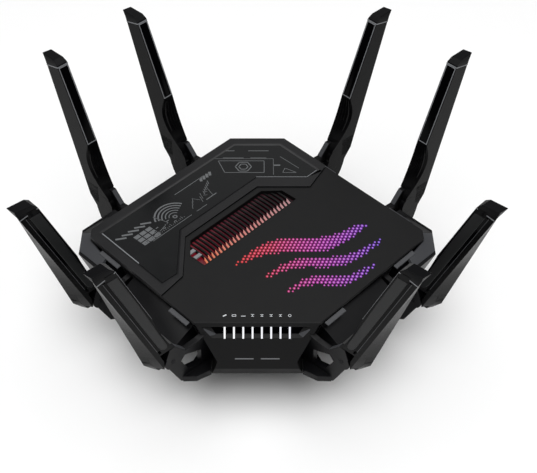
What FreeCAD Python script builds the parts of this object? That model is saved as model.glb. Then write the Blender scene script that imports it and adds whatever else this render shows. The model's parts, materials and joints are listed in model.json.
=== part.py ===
import FreeCAD, Part
import os
import re
import Sketcher

# An eight-antenna wireless router, standing on the XY plane, front towards -Y.
# The body is an octagon with four long sides. Each long side carries two antennas on lap hinges.
# Along a long side, "out" is the distance from the router's axis square to that side, and
# "along" runs in the side's own direction, from the side's middle towards the left or right corner.
# The back left quarter is modelled; the other quarters are mirrored from it.

SIZES = [
    ("side_angle", 47.2, "turn of the long sides away from the X axis, degrees"),
    ("cover_half", 135.5, "top cover, half width from corner to corner"),
    ("corner_half", 4.8, "top cover, half length of its left and right edges"),
    ("front_half", 48.0, "top cover, half length of its front edge"),
    ("back_half", 24.0, "top cover, half length of its back edge"),
    ("cover_top", 75.0, "height of the top cover's upper face"),
    ("cover_thick", 3.0, "top cover thickness"),
    ("lip_deep", 3.0, "depth of the lip that centres the cover in the case"),
    ("lip_wall", 2.0, "thickness of that lip"),
    ("fit_gap", 0.15, "clearance between pieces that drop into each other"),
    ("foot_high", 3.0, "height of the rubber feet"),
    ("foot_radius", 7.0, "radius of a rubber foot"),
    ("foot_x", 50.0, "X of the rubber feet"),
    ("foot_y", 34.0, "Y of the rubber feet"),
    ("wall", 2.4, "wall of the lower case"),
    ("case_inset", 5.0, "how far the case sits in under the cover's edge"),
    ("case_slope", 0.32, "how far the case walls lean in per millimetre of depth"),
    ("case_corner", 8.0, "lower case, half length of its left and right edges"),
    ("bay_half", 30.0, "half width of the socket bay"),
    ("bay_step", 0.4, "extra floor inside the socket bay"),
    ("bay_start", 60.0, "Y where the socket bay begins"),
    ("frame_rise", 1.2, "how far the window frame stands above the cover"),
    ("frame_sink", 1.5, "how far the window frame is let into the cover"),
    ("frame_reach", 59.6, "X of the window frame's right hand tip"),
    ("frame_step", 59.0, "Y of the frame's short edge beside the vent"),
    ("frame_step_end", 45.0, "X where that short edge ends"),
    ("frame_bay", 40.0, "out distance of the frame's edge along the vent"),
    ("frame_side", 58.4, "distance of the frame's straight right edge left of the axis"),
    ("frame_tail", 50.0, "distance of that edge's lower end in front of the axis"),
    ("frame_toe", 74.0, "distance left of the axis where the frame meets the front left edge"),
    ("frame_edge", 9.6, "width of the frame along the cover's edge"),
    ("frame_band", 9.5, "width of the frame between the glass and the vent"),
    ("frame_slim", 5.0, "width of the frame beside the glass's narrow end"),
    ("frame_wide", 13.0, "width of the frame behind its short edge"),
    ("glass_thick", 2.0, "thickness of the window panel"),
    ("glass_tip", 51.8, "X of the window panel's right hand tip"),
    ("glass_step_end", 42.8, "X where its short edge ends"),
    ("vent_near", 5.0, "out distance of the vent's inner edge"),
    ("vent_far", 35.0, "out distance of the vent's outer edge"),
    ("vent_back", 55.0, "vent length from its middle towards the back corner"),
    ("vent_left", 56.0, "vent length from its middle towards the left corner"),
    ("vent_cut", 13.0, "corner cut at the vent's ends"),
    ("vent_rim", 1.6, "rim that joins the vent's fins"),
    ("fin_pitch", 4.1, "spacing of the vent fins"),
    ("fin_thick", 1.5, "thickness of a vent fin"),
    ("grille_deep", 2.6, "depth of the vent grille"),
    ("guide_thick", 2.0, "thickness of the vent's light guide"),
    ("guide_lap", 3.0, "how far the light guide laps under the cover round the vent"),
    ("panel_crease", 41.0, "front panel, height of that crease"),
    ("panel_low", 34.0, "front panel, height of its lower edge"),
    ("panel_tuck", 1.5, "front panel, how far its lower edge turns back"),
    ("panel_waist", 30.5, "front panel, half width at its narrowest"),
    ("panel_waist_high", 46.0, "height of the narrowest place"),
    ("panel_foot", 35.0, "front panel, half width near its lower edge"),
    ("panel_skin", 4.5, "thickness of the front panel's face"),
    ("panel_side", 3.0, "thickness of the front panel's side walls"),
    ("slot_half", 42.0, "half width of the status light recess"),
    ("slot_high", 71.5, "height of the recess's upper edge"),
    ("slot_low", 60.5, "height of the recess's lower edge"),
    ("slot_deep", 3.0, "depth of the recess"),
    ("bar_pitch", 7.05, "spacing of the status light bars"),
    ("bar_wide", 1.9, "width of a status light bar"),
    ("bar_count", 8.0, "number of status light bars"),
    ("panel_lights", 1.6, "thickness of the lighting circuit boards and light panels"),
    ("board_high", 12.0, "height of the main board's underside"),
    ("board_thick", 1.6, "thickness of a circuit board"),
    ("board_side", 71.0, "out distance of the main board's long edges"),
    ("board_back", 92.0, "Y of the main board's back edge"),
    ("board_front", 60.0, "distance of the main board's front edge"),
    ("post_radius", 3.5, "radius of the posts that carry the main board"),
    ("post_x", 52.0, "X of the posts"),
    ("post_y", 30.0, "Y of the posts"),
    ("screw_radius", 1.3, "radius of a board screw's shank"),
    ("screw_head", 2.8, "radius of a board screw's head"),
    ("screw_long", 6.0, "length of a board screw's shank in its post"),
    ("shield_high", 3.2, "height of the radio shields"),
    ("sink_half", 42.0, "half width of the heatsink"),
    ("sink_base", 4.0, "thickness of the heatsink's base"),
    ("sink_high", 26.0, "height of the heatsink"),
    ("sink_fin", 1.6, "thickness of a heatsink fin"),
    ("sink_pitch", 6.0, "spacing of the heatsink fins"),
    ("jack_wide", 16.0, "width of one network socket"),
    ("jack_high", 13.4, "height of one network socket"),
    ("jack_deep", 19.0, "depth of the network socket block"),
    ("jack_mouth", 11.8, "width of a network socket's mouth"),
    ("jack_mouth_high", 8.4, "height of a network socket's mouth"),
    ("jack_mouth_deep", 13.0, "depth of a network socket's mouth"),
    ("inlet_x", -22.0, "X of the power inlet"),
    ("inlet_bore", 2.75, "radius of the power inlet's bore"),
    ("inlet_deep", 9.5, "depth of the power inlet's bore"),
    ("inlet_body", 4.6, "radius of the power inlet's barrel"),
    ("rocker_x", -9.5, "X of the power rocker"),
    ("rocker_half", 3.6, "half width of the power rocker"),
    ("rocker_reach", 6.0, "half height of the power rocker"),
    ("rocker_tip", 6.0, "tilt of the power rocker in its on position, degrees"),
    ("usb_x", 6.0, "X of the USB sockets"),
    ("usb_wide", 14.4, "width of a USB shell"),
    ("usb_high", 7.0, "height of one USB shell"),
    ("usb_deep", 15.0, "depth of the USB shells"),
    ("usb_skin", 0.8, "metal of the USB shells"),
    ("button_x", 21.5, "X of the push buttons"),
    ("button_radius", 2.6, "radius of the two large push buttons"),
    ("reset_radius", 1.3, "radius of the reset button"),
    ("button_step", 6.8, "height between two push buttons"),
    ("button_proud", 1.6, "how far a push button stands out of the bay"),
    ("button_gap", 0.35, "running clearance round a push button"),
    ("pivot_high", 60.0, "height of the antenna hinge axes"),
    ("antenna_along", 44.0, "distance of the antennas from the side's middle"),
    ("antenna_wide", 10.4, "width of an antenna along its side"),
    ("lap_gap", 0.25, "half of the gap between a blade's knuckle and its arm"),
    ("pin_radius", 2.0, "radius of a hinge pin"),
    ("pin_gap", 0.05, "running clearance of a hinge pin"),
    ("knuckle", 7.5, "radius of a fixed arm's knuckle"),
    ("blade_knuckle", 8.0, "radius of a blade's knuckle"),
    ("lean", 22.4, "lean of the antennas from upright, degrees"),
    ("flare", 17.5, "lean of a blade's far outer edge, degrees"),
    ("blade_deep", 17.0, "depth of a blade, measured level"),
    ("blade_high", 182.0, "height of a blade's top, under its cap"),
    ("knee_cut", 4.5, "how far the knee is cut back at the lower end"),
    ("waist_cut", 10.0, "depth of the hollow at the far side"),
    ("window_low", 115.6, "lower end of the antenna window"),
    ("window_deep", 1.4, "thickness of the antenna window"),
    ("window_margin", 0.8, "blade showing each side of the antenna window"),
    ("cap_high", 186.8, "height of a cap's tip"),
    ("aerial_deep", 8.0, "width of the aerial board inside a blade"),
    ("aerial_slot", 1.2, "width of the slot that holds the aerial board"),
    ("spine", 4.0, "thickness of the mounting rail along the case"),
    ("spine_high", 67.0, "height of the rail's upper edge"),
    ("spine_low", 40.0, "height of the rail's lower edge"),
    ("ledge_half", 36.0, "half length of the ledge"),
    ("ledge_thick", 6.0, "thickness of the ledge"),
    ("wing_start", 52.0, "where the corner wing begins, along the side"),
    ("wing_high", 66.0, "height of the wing's upper edge"),
    ("wing_low", 42.0, "height of the wing's lower edge"),
    ("wing_slope", 0.36, "how far the wing leans in per millimetre of depth"),
    ("strut_low", 31.0, "height of the front strut's underside"),
    ("strut_thick", 5.5, "thickness of the front strut"),
]

# Sizes that follow from others. Each is a formula in the same sheet.
DERIVED = [
    ("cover_side", "cover_half * sin(side_angle) + corner_half * cos(side_angle)",
     "out distance of the long edges"),
    ("cover_back", "corner_half + (cover_half - back_half) * tan(side_angle)",
     "Y of the cover's back edge"),
    ("cover_front", "corner_half + (cover_half - front_half) * tan(side_angle)",
     "distance of its front edge"),
    ("panel_front", "cover_front + 16.2", "front panel, distance of its foremost crease from the axis"),
    ("bay_back", "cover_back - 21", "Y of the socket bay's outer face"),
    ("upper_row", "board_high + 2 * board_thick + 2 * jack_high + 12",
     "height of the upper row of openings"),
    ("bay_high", "upper_row + 14", "height of the socket bay's roof"),
    ("pivot_out", "cover_side + 28.3", "out distance of the antenna hinge axes"),
    ("notch_out", "pivot_out + 8.2", "out distance that the blade's notch reaches"),
    ("blade_low", "pivot_high - 6.7", "height of a blade's flat lower end"),
    ("knee_high", "pivot_high + 2", "height where the far outer edge turns in"),
    ("notch_high", "pivot_high + 15", "height of the blade's notch"),
    ("waist_low", "notch_high + 5", "lower end of the hollow under the antenna window"),
    ("waist_high", "waist_low + 20", "upper end of that hollow"),
    ("ledge_high", "pivot_high - 3", "height of the ledge's outer edge"),
    ("arm_crest", "min(pivot_high + 4.5; cover_top - 10.5)", "height of an arm's inner end"),
    ("blade_foot", "pivot_out + 6.8", "out distance of the near outer edge at the blade's lower end"),
    ("tip_out", "pivot_out + 57.6", "out distance of a blade's far top edge"),
    ("cap_in", "pivot_out + 47.8", "out distance of a cap's inner edge"),
    ("cap_out", "pivot_out + 62.3", "out distance of a cap's outer tip"),
    ("ledge_out", "pivot_out - 13", "out distance of the ledge between two antennas"),
    ("wing_out", "cover_side + 13.5", "out distance of the corner wing's upper edge"),
    ("wing_half", "cover_half + 9.5", "X of the corner wing's upper edge"),
]

BACK_ROW = ["back_left", "left_back"]

doc = FreeCAD.newDocument("wireless_router")
sheet = doc.addObject("Spreadsheet::Sheet", "Sizes")
for row, (alias, number, note) in enumerate(SIZES, start=1):
    sheet.set(f"A{row}", alias)
    sheet.set(f"B{row}", str(number))
    sheet.setAlias(f"B{row}", alias)
    sheet.set(f"C{row}", note)
for row, (alias, formula, note) in enumerate(DERIVED, start=len(SIZES) + 1):
    sheet.set(f"A{row}", alias)
    sheet.set(f"B{row}", "=" + formula)
    sheet.setAlias(f"B{row}", alias)
    sheet.set(f"C{row}", note)
doc.recompute()
ALIASES = {alias for alias, number, note in SIZES + DERIVED}


def ref(text):
    """An expression in plain aliases, with each alias pointed at the sheet."""
    return re.sub(r"[a-z_]+", lambda word: word[0] in ALIASES and "Sizes." + word[0] or word[0], text)


def value(text):
    """The number that an expression has now."""
    return float(sheet.evalExpression(ref(text)))


# ---------------------------------------------------------------- shared places, as expressions
SIN = "sin(side_angle)"
COS = "cos(side_angle)"
COVER_LOW = "(cover_top - cover_thick)"
FRAME_TOP = "(cover_top + frame_rise)"
FRAME_LOW = "(cover_top - frame_sink)"
BOARD_TOP = "(board_high + board_thick)"
IO_LOW = f"({BOARD_TOP} + 2 * jack_high)"
IO_TOP = f"({IO_LOW} + board_thick)"
INLET_HIGH = f"({IO_TOP} + inlet_body)"


def case_side(height):
    """Out distance of the case's long wall at a height."""
    return f"(cover_side - case_inset - case_slope * ({COVER_LOW} - ({height})))"


def case_front(height):
    """Distance of the case's front wall from the axis at a height."""
    return f"(cover_front - case_inset - case_slope * ({COVER_LOW} - ({height})))"


def octagon(side, corner, back, front):
    """Corners of an octagon: long sides at 'side' from the axis, end edges 'corner' half long."""
    left = f"(({side} - ({corner}) * {COS}) / {SIN})"
    rear = f"(({side} - ({back}) * {COS}) / {SIN})"
    fore = f"(({side} - ({front}) * {COS}) / {SIN})"
    return [(f"{rear}", back), (f"-{rear}", back), (f"-{left}", corner), (f"-{left}", f"-({corner})"),
            (f"-{fore}", f"-({front})"), (fore, f"-({front})"), (left, f"-({corner})"), (left, corner)]


def side_to_plan(out, along):
    """Plan X and Y of a place on the back left side."""
    return f"(-({out}) * {SIN} - ({along}) * {COS})", f"(({out}) * {COS} - ({along}) * {SIN})"


def plan_to_side(x, y):
    """Out and along of a plan place, for the back left side."""
    return f"(-({x}) * {SIN} + ({y}) * {COS})", f"(-({x}) * {COS} - ({y}) * {SIN})"


# ---------------------------------------------------------------- small modelling helpers
def new_body(label):
    body = doc.addObject("PartDesign::Body", label)
    body.Label = label
    return body


def new_sketch(body, plane, height):
    """A sketch on one of the body's own planes, lifted along the plane's normal."""
    sketch = body.newObject("Sketcher::SketchObject", "Sketch")
    support = [item for item in body.Origin.OriginFeatures if item.Role == plane][0]
    sketch.AttachmentSupport = (support, [""])
    sketch.MapMode = "FlatFace"
    sketch.setExpression("AttachmentOffset.Base.z", ref(height))
    return sketch


def pin_point(sketch, geometry, place, x, y):
    """Fix one point of a sketch at the place that two expressions give."""
    for kind, text in (("DistanceX", x), ("DistanceY", y)):
        index = sketch.addConstraint(Sketcher.Constraint(kind, -1, 1, geometry, place, value(text)))
        sketch.setExpression(f"Constraints[{index}]", ref(text))


def draw_loop(sketch, corners):
    """A closed outline of straight edges through the corners."""
    first = sketch.GeometryCount
    points = [FreeCAD.Vector(value(x), value(y), 0) for x, y in corners]
    count = len(points)
    for index in range(count):
        sketch.addGeometry(Part.LineSegment(points[index], points[(index + 1) % count]))
    for index, (x, y) in enumerate(corners):
        before = first + (index - 1) % count
        sketch.addConstraint(Sketcher.Constraint("Coincident", first + index, 1, before, 2))
        pin_point(sketch, first + index, 1, x, y)


def draw_circle(sketch, x, y, radius):
    index = sketch.GeometryCount
    centre = FreeCAD.Vector(value(x), value(y), 0)
    sketch.addGeometry(Part.Circle(centre, FreeCAD.Vector(0, 0, 1), value(radius)))
    pin_point(sketch, index, 3, x, y)
    size = sketch.addConstraint(Sketcher.Constraint("Radius", index, value(radius)))
    sketch.setExpression(f"Constraints[{size}]", ref(radius))


def feature(body, kind, sketch, length):
    """Pad or Pocket of a sketch along its normal; a Pocket is turned to cut the same way."""
    made = body.newObject("PartDesign::" + kind, kind)
    made.Profile = sketch
    made.setExpression("Length", ref(length))
    made.Reversed = kind == "Pocket"
    return made


def level(body, kind, loops, low, high, circles=()):
    """A level slab between two heights."""
    sketch = new_sketch(body, "XY_Plane", low)
    for corners in loops:
        draw_loop(sketch, corners)
    for x, y, radius in circles:
        draw_circle(sketch, x, y, radius)
    return feature(body, kind, sketch, f"({high}) - ({low})")


def upright(body, kind, loops, start, end, circles=()):
    """A slab that stands in the XZ plane, between two places along Y."""
    sketch = new_sketch(body, "XZ_Plane", f"-({end})")
    for corners in loops:
        draw_loop(sketch, corners)
    for x, z, radius in circles:
        draw_circle(sketch, x, z, radius)
    return feature(body, kind, sketch, f"({end}) - ({start})")


def profile(body, kind, corners, start, end):
    """A slab that stands in the YZ plane, between two places along X."""
    sketch = new_sketch(body, "YZ_Plane", start)
    draw_loop(sketch, corners)
    return feature(body, kind, sketch, f"({end}) - ({start})")


def loft(body, kind, sections):
    """A straight-sided loft through level sections, each a height and its corners."""
    sketches = []
    for height, corners in sections:
        sketch = new_sketch(body, "XY_Plane", height)
        draw_loop(sketch, corners)
        sketches.append(sketch)
    made = body.newObject("PartDesign::" + kind, kind)
    made.Profile = sketches[0]
    made.Sections = sketches[1:]
    made.Ruled = True
    return made


def block(label, size, place):
    """A Part box from expressions for its three sizes and its lowest corner."""
    box = doc.addObject("Part::Box", label)
    for name, text in zip(("Length", "Width", "Height"), size):
        box.setExpression(name, ref(text))
    for name, text in zip("xyz", place):
        box.setExpression(f"Placement.Base.{name}", ref(text))
    return box


def rod(label, radius, height, place):
    """A Part cylinder standing along +Z."""
    cylinder = doc.addObject("Part::Cylinder", label)
    cylinder.setExpression("Radius", ref(radius))
    cylinder.setExpression("Height", ref(height))
    for name, text in zip("xyz", place):
        cylinder.setExpression(f"Placement.Base.{name}", ref(text))
    return cylinder


def rod_back(label, radius, length, place):
    """A Part cylinder lying along +Y from its place."""
    cylinder = rod(label, radius, length, place)
    cylinder.Placement.Rotation = FreeCAD.Rotation(FreeCAD.Vector(1, 0, 0), -90)
    return cylinder


def joined(label, pieces):
    group = doc.addObject("Part::MultiFuse", label)
    group.Shapes = pieces
    return group


def cut(label, base, tool):
    result = doc.addObject("Part::Cut", label)
    result.Base = base
    result.Tool = tool
    return result


def together(label, pieces):
    """Separate solids that share one node."""
    group = doc.addObject("Part::Compound", label)
    group.Links = pieces
    group.Label = label
    return group


def mirror(label, source, normal):
    image = doc.addObject("Part::Mirroring", label)
    image.Source = source
    image.Normal = normal
    image.Label = label
    return image


def put_on_side(body, along):
    """Turn a piece modelled as (out, along, up) onto the back left side."""
    body.Placement.Rotation = FreeCAD.Rotation(FreeCAD.Vector(0, 0, 1), 90)
    body.setExpression("Placement.Rotation.Angle", ref("90 + side_angle"))
    body.setExpression("Placement.Base.x", ref(f"-({along}) * {COS}"))
    body.setExpression("Placement.Base.y", ref(f"-({along}) * {SIN}"))
    return body


def rectangle(left, right, low, high):
    return [(left, low), (right, low), (right, high), (left, high)]


# ---------------------------------------------------------------- casing
def case_section(height, inset, corner):
    side = f"({case_side(height)} - {inset})"
    return octagon(side, corner, f"(bay_back - {inset})", f"({case_front(height)} - {inset})")


def post_circles(radius):
    """One circle on each of the four posts that carry the main board."""
    return [(f"{x} * post_x", f"{y} * post_y", radius) for x in (-1, 1) for y in (-1, 1)]


def make_lower_case():
    body = new_body("lower_case")
    floor = "foot_high"
    loft(body, "AdditiveLoft", [(floor, case_section(floor, "0", "case_corner")),
                                (COVER_LOW, case_section(COVER_LOW, "0", "case_corner"))])
    level(body, "Pad", [rectangle("-bay_half", "bay_half", "bay_start", "bay_back")], floor, "bay_high")
    inside = "foot_high + wall"
    loft(body, "SubtractiveLoft", [(inside, case_section(inside, "wall", "case_corner")),
                                   (COVER_LOW, case_section(COVER_LOW, "wall", "case_corner"))])
    inner = rectangle("-bay_half + wall", "bay_half - wall", "bay_start", "bay_back - wall")
    level(body, "Pocket", [inner], f"{inside} + bay_step", "bay_high - wall")
    gap = "button_gap"
    jacks = rectangle("-1.5 * jack_wide - fit_gap", "1.5 * jack_wide + fit_gap",
                      f"{BOARD_TOP} - fit_gap", f"{BOARD_TOP} + 2 * jack_high + fit_gap")
    usb = rectangle("usb_x - usb_wide / 2 - fit_gap", "usb_x + usb_wide / 2 + fit_gap",
                    f"{IO_TOP} - fit_gap", f"{IO_TOP} + 2 * usb_high + fit_gap")
    rocker = rectangle(f"rocker_x - rocker_half - {gap}", f"rocker_x + rocker_half + {gap}",
                       f"upper_row - rocker_reach - {gap}", f"upper_row + rocker_reach + {gap}")
    holes = [("inlet_x", INLET_HIGH, "inlet_body + fit_gap"),
             ("button_x", "upper_row + button_step", f"button_radius + {gap}"),
             ("button_x", "upper_row", f"reset_radius + {gap}"),
             ("button_x", "upper_row - button_step", f"button_radius + {gap}")]
    upright(body, "Pocket", [jacks, usb, rocker], "bay_back - 2 * wall", "bay_back + wall", holes)
    level(body, "Pad", [], "foot_high + wall / 2", "board_high", post_circles("post_radius"))
    level(body, "Pocket", [], "board_high - screw_long", "board_high", post_circles("screw_radius"))
    return body


def edge_y(x, inset):
    """Distance from the X axis of the cover's long edges, pulled in by an inset, at x from the middle."""
    return f"((cover_side - {inset} - ({x}) * {SIN}) / {COS})"


def frame_outline():
    """The window frame's outline: it follows the cover's back and left edges."""
    rear = "back_half"
    return [(rear, "cover_back"), (f"-{rear}", "cover_back"), ("-cover_half", "corner_half"),
            ("-cover_half", "-corner_half"), ("-frame_toe", f"-{edge_y('frame_toe', '0')}"),
            ("-frame_side", "-frame_tail"),
            ("-frame_side", f"(frame_bay - frame_side * {SIN}) / {COS}"),
            (f"(frame_step * {COS} - frame_bay) / {SIN}", "frame_step"),
            ("frame_step_end", "frame_step"), ("frame_reach", edge_y("frame_reach", "0"))]


def glass_outline(gap):
    """The window panel's outline, inside the frame by its band widths and a gap."""
    edge = f"(frame_edge + {gap})"
    back = f"(cover_back - {edge})"
    rear = f"((cover_side - {edge} - {back} * {COS}) / {SIN})"
    bay = f"(frame_bay + frame_band + {gap})"
    step = f"(frame_step + frame_wide + {gap})"
    side = f"(frame_side + frame_slim + {gap})"
    return [(rear, back), (f"-{rear}", back), (f"-(cover_side - {edge}) / {SIN}", "0"),
            ("-frame_toe", f"-{edge_y('frame_toe', edge)}"),
             (f"-{side}", f"-frame_tail + frame_band / 3 + {gap}"),
            (f"-{side}", f"({bay} - {side} * {SIN}) / {COS}"), (f"({step} * {COS} - {bay}) / {SIN}", step),
            ("glass_step_end", step), (f"glass_tip - 2 * {gap}", edge_y(f"glass_tip - 2 * {gap}", edge))]


def vent_outline(gap):
    """The vent's outline as out and along places, pulled in by a gap."""
    near = f"(vent_near + {gap})"
    far = f"(vent_far - {gap})"
    back = f"-(vent_back - {gap})"
    left = f"(vent_left - {gap})"
    bevel = f"(vent_cut - {gap} * (2 - sqrt(2)))"
    return [(near, back), (f"{far} - {bevel}", back), (far, f"{back} + {bevel}"),
            (far, f"{left} - {bevel}"), (f"{far} - {bevel}", left), (near, left)]


def make_top_cover():
    body = new_body("top_cover")
    outline = octagon("cover_side", "corner_half", "cover_back", "cover_front")
    level(body, "Pad", [outline], COVER_LOW, "cover_top")
    lip_low = f"({COVER_LOW} - lip_deep)"
    outer = case_section(lip_low, "(wall + fit_gap)", "case_corner")
    inner = case_section(lip_low, "(wall + fit_gap + lip_wall)", "case_corner")
    level(body, "Pad", [outer, inner], lip_low, COVER_LOW)
    level(body, "Pocket", [frame_outline()], FRAME_LOW, "cover_top + 1")
    vent = [side_to_plan(out, along) for out, along in vent_outline("0")]
    level(body, "Pocket", [vent], f"{COVER_LOW} - 1", "cover_top + 1")
    return body


def make_window_frame():
    body = new_body("window_frame")
    level(body, "Pad", [frame_outline(), glass_outline("0")], FRAME_LOW, FRAME_TOP)
    return body


def make_window_panel():
    body = new_body("window_panel")
    level(body, "Pad", [glass_outline("fit_gap")], FRAME_LOW, "cover_top - frame_sink + glass_thick")
    return body


def make_vent_grille():
    """A rim with straight fins across it, one solid."""
    body = new_body("vent_grille")
    low = "cover_top - grille_deep"
    high = "cover_top - fit_gap"
    level(body, "Pad", [vent_outline("fit_gap"), vent_outline("(fit_gap + vent_rim)")], low, high)
    start = "-(vent_back - vent_cut)"
    fin = rectangle("vent_near + vent_rim / 2", "vent_far - vent_rim / 2", start, f"{start} + fin_thick")
    pad = level(body, "Pad", [fin], low, high)
    repeat(body, pad, "Y_Axis", "fin_pitch", "floor((vent_back + vent_left - 2 * vent_cut) / fin_pitch)")
    return put_on_side(body, "0")


def repeat(body, original, axis, pitch, count):
    """Repeat a feature along one of the body's own axes."""
    pattern = body.newObject("PartDesign::LinearPattern", "Pattern")
    pattern.Originals = [original]
    direction = [item for item in body.Origin.OriginFeatures if item.Role == axis][0]
    pattern.Direction = (direction, [""])
    pattern.setExpression("Length", ref(f"({count} - 1) * {pitch}"))
    pattern.setExpression("Occurrences", ref(count))
    body.Tip = pattern
    return pattern


def make_vent_light_guide():
    body = new_body("vent_light_guide")
    level(body, "Pad", [vent_outline("-guide_lap")], f"{COVER_LOW} - guide_thick", COVER_LOW)
    return put_on_side(body, "0")


def matrix_outline():
    """The lit field beside the vent: it keeps to the front of the vent and inside the case."""
    inner = f"(vent_near - guide_lap - 2)"
    left = "16"
    back = "8"
    right = "98"
    fore = "62"
    side = f"({case_side(COVER_LOW)} - wall - lip_wall - 3)"
    return [(f"-{left}", f"({inner} - {left} * {SIN}) / {COS}"),
            (f"({back} * {COS} - {inner}) / {SIN}", back),
            (right, back), (right, f"-({side} - {right} * {SIN}) / {COS}"),
            (f"({side} - {fore} * {COS}) / {SIN}", f"-{fore}"), ("8", f"-{fore}"), (f"-{left}", "-40")]


def make_matrix_light_panel():
    body = new_body("matrix_light_panel")
    level(body, "Pad", [matrix_outline()], f"{COVER_LOW} - panel_lights", COVER_LOW)
    return body


def make_light_board():
    body = new_body("light_board")
    level(body, "Pad", [matrix_outline()], f"{COVER_LOW} - 2 * panel_lights", f"{COVER_LOW} - panel_lights")
    return body


# ---------------------------------------------------------------- front panel and its lights
def face_y(height):
    """Y of the front panel's sloping face at a height."""
    slope = "(panel_front - cover_front) / (cover_top - panel_crease)"
    return f"-(cover_front + (cover_top - ({height})) * {slope})"


def slot_profile(proud):
    """The status light recess in the YZ plane: a groove with a long upper and a short lower face."""
    high = face_y("slot_high")
    low = face_y("slot_low")
    return [(f"{high} - {proud}", "slot_high"), (f"{low} - {proud}", "slot_low"), (low, "slot_low"),
            (f"{low} + slot_deep", "slot_low + 1.5"), (high, "slot_high")]


def make_front_panel():
    body = new_body("front_panel")
    front_view = [("-front_half", "cover_top"), ("-panel_waist", "panel_waist_high"),
                  ("-panel_foot", "panel_low"), ("panel_foot", "panel_low"),
                  ("panel_waist", "panel_waist_high"), ("front_half", "cover_top")]
    upright(body, "Pad", [front_view], "-(panel_front + 1)", f"-{case_front('panel_low')}")
    span = ("-(front_half + 1)", "front_half + 1")
    ahead = "-(panel_front + 2)"
    top = "cover_top + 1"
    face = [(ahead, top), ("-cover_front", top), ("-cover_front", "cover_top"),
            ("-panel_front", "panel_crease"), ("-(panel_front - panel_tuck)", "panel_low"),
            ("-(panel_front - panel_tuck)", "panel_low - 1"), (ahead, "panel_low - 1")]
    profile(body, "Pocket", face, *span)
    under_cover = [("-cover_front", top), ("-cover_front", COVER_LOW),
                   (f"-{case_front(COVER_LOW)}", COVER_LOW), (f"-{case_front('panel_low')}", "panel_low"),
                   ("-50", "panel_low"), ("-50", top)]
    profile(body, "Pocket", under_cover, *span)
    hollow = [(f"{face_y('slot_high')} + panel_skin", "slot_high - 2"),
              ("-panel_front + panel_skin", "panel_crease"),
              ("-panel_front + panel_skin", "panel_low + panel_side"),
              ("-50", "panel_low + panel_side"), ("-50", "slot_high - 2")]
    profile(body, "Pocket", hollow, "-(panel_waist - panel_side)", "panel_waist - panel_side")
    profile(body, "Pocket", slot_profile("1"), "-(slot_half - 4)", "slot_half - 4")
    for hand in ("-1", "1"):
        level(body, "Pocket", [room_for_arm(hand)], "panel_low - 1", "spine_high + fit_gap")
    return body


def room_for_arm(hand):
    """What the front panel gives up on one hand to the end of the side carrier."""
    end = "(antenna_along + antenna_wide / 2 + fit_gap)"
    back = "80"
    ahead = "(panel_front + 5)"
    return [(f"{hand} * ({back} * {SIN} - {end}) / {COS}", f"-{back}"),
            (f"{hand} * ({ahead} * {SIN} - {end}) / {COS}", f"-{ahead}"),
            (f"{hand} * {back}", f"-{ahead}"), (f"{hand} * {back}", f"-{back}")]


def make_led_light_bars():
    bars = []
    for index in range(int(value("bar_count"))):
        bar = new_body("light_bar")
        middle = f"({index} - (bar_count - 1) / 2) * bar_pitch"
        profile(bar, "Pad", slot_profile("0.3"), f"{middle} - bar_wide / 2", f"{middle} + bar_wide / 2")
        bars.append(bar)
    return together("led_light_bars", bars)


# ---------------------------------------------------------------- electronics inside
def make_main_board():
    body = new_body("main_board")
    outline = octagon("board_side", "case_corner", "board_back", "board_front")
    level(body, "Pad", [outline], "board_high", BOARD_TOP)
    inner = "bay_half - wall - 4 * fit_gap"
    tongue = rectangle(f"-({inner})", inner, "bay_start", "bay_back - wall - 4 * fit_gap")
    level(body, "Pad", [tongue], "board_high", BOARD_TOP)
    level(body, "Pocket", [], "board_high - 1", f"{BOARD_TOP} + 1", post_circles("screw_radius + fit_gap"))
    return body


def make_board_screws():
    screws = []
    for x in ("-post_x", "post_x"):
        for y in ("-post_y", "post_y"):
            bottom = (x, y, "board_high - screw_long")
            shank = rod("shank", "screw_radius", "screw_long + board_thick", bottom)
            head = rod("head", "screw_head", "board_thick", (x, y, BOARD_TOP))
            screws.append(joined("screw", [shank, head]))
    return together("board_screws", screws)


def make_rf_shields():
    boxes = []
    for x in ("-34", "4"):
        for y in ("-44", "-4"):
            boxes.append(block("shield", ("30", "34", "shield_high"), (x, y, BOARD_TOP)))
    return together("rf_shields", boxes)


def make_heatsink():
    body = new_body("heatsink")
    low = f"({BOARD_TOP} + shield_high)"
    level(body, "Pad", [rectangle("-sink_half", "sink_half", "-sink_half - 8", "sink_half - 8")], low,
          f"{low} + sink_base")
    fin = rectangle("-sink_half", "-sink_half + sink_fin", "-sink_half - 8", "sink_half - 8")
    pad = level(body, "Pad", [fin], f"{low} + sink_base", f"{low} + sink_high")
    repeat(body, pad, "X_Axis", "sink_pitch", "floor(2 * sink_half / sink_pitch)")
    return body


JACK_FRONT = "(bay_back - 2 * fit_gap)"


def make_ethernet_sockets():
    """Six sockets in one moulded block, three wide and two high."""
    shell = block("jack_block", ("3 * jack_wide", "jack_deep", "2 * jack_high"),
                  ("-1.5 * jack_wide", f"{JACK_FRONT} - jack_deep", BOARD_TOP))
    mouths = []
    for column in (-1, 0, 1):
        for level_up in (0, 1):
            mouths.append(block("mouth", ("jack_mouth", "jack_mouth_deep + 1", "jack_mouth_high"),
                                (f"{column} * jack_wide - jack_mouth / 2", f"{JACK_FRONT} - jack_mouth_deep",
                                 f"{BOARD_TOP} + {level_up} * jack_high + (jack_high - jack_mouth_high) / 2")))
    return cut("ethernet_sockets", shell, joined("mouths", mouths))


def make_io_board():
    inner = "bay_half - wall - 4 * fit_gap"
    return block("io_board", (f"2 * ({inner})", "jack_deep + 2", "board_thick"),
                 (f"-({inner})", "bay_back - wall - jack_deep - 2 - 2 * fit_gap", IO_LOW))


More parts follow.
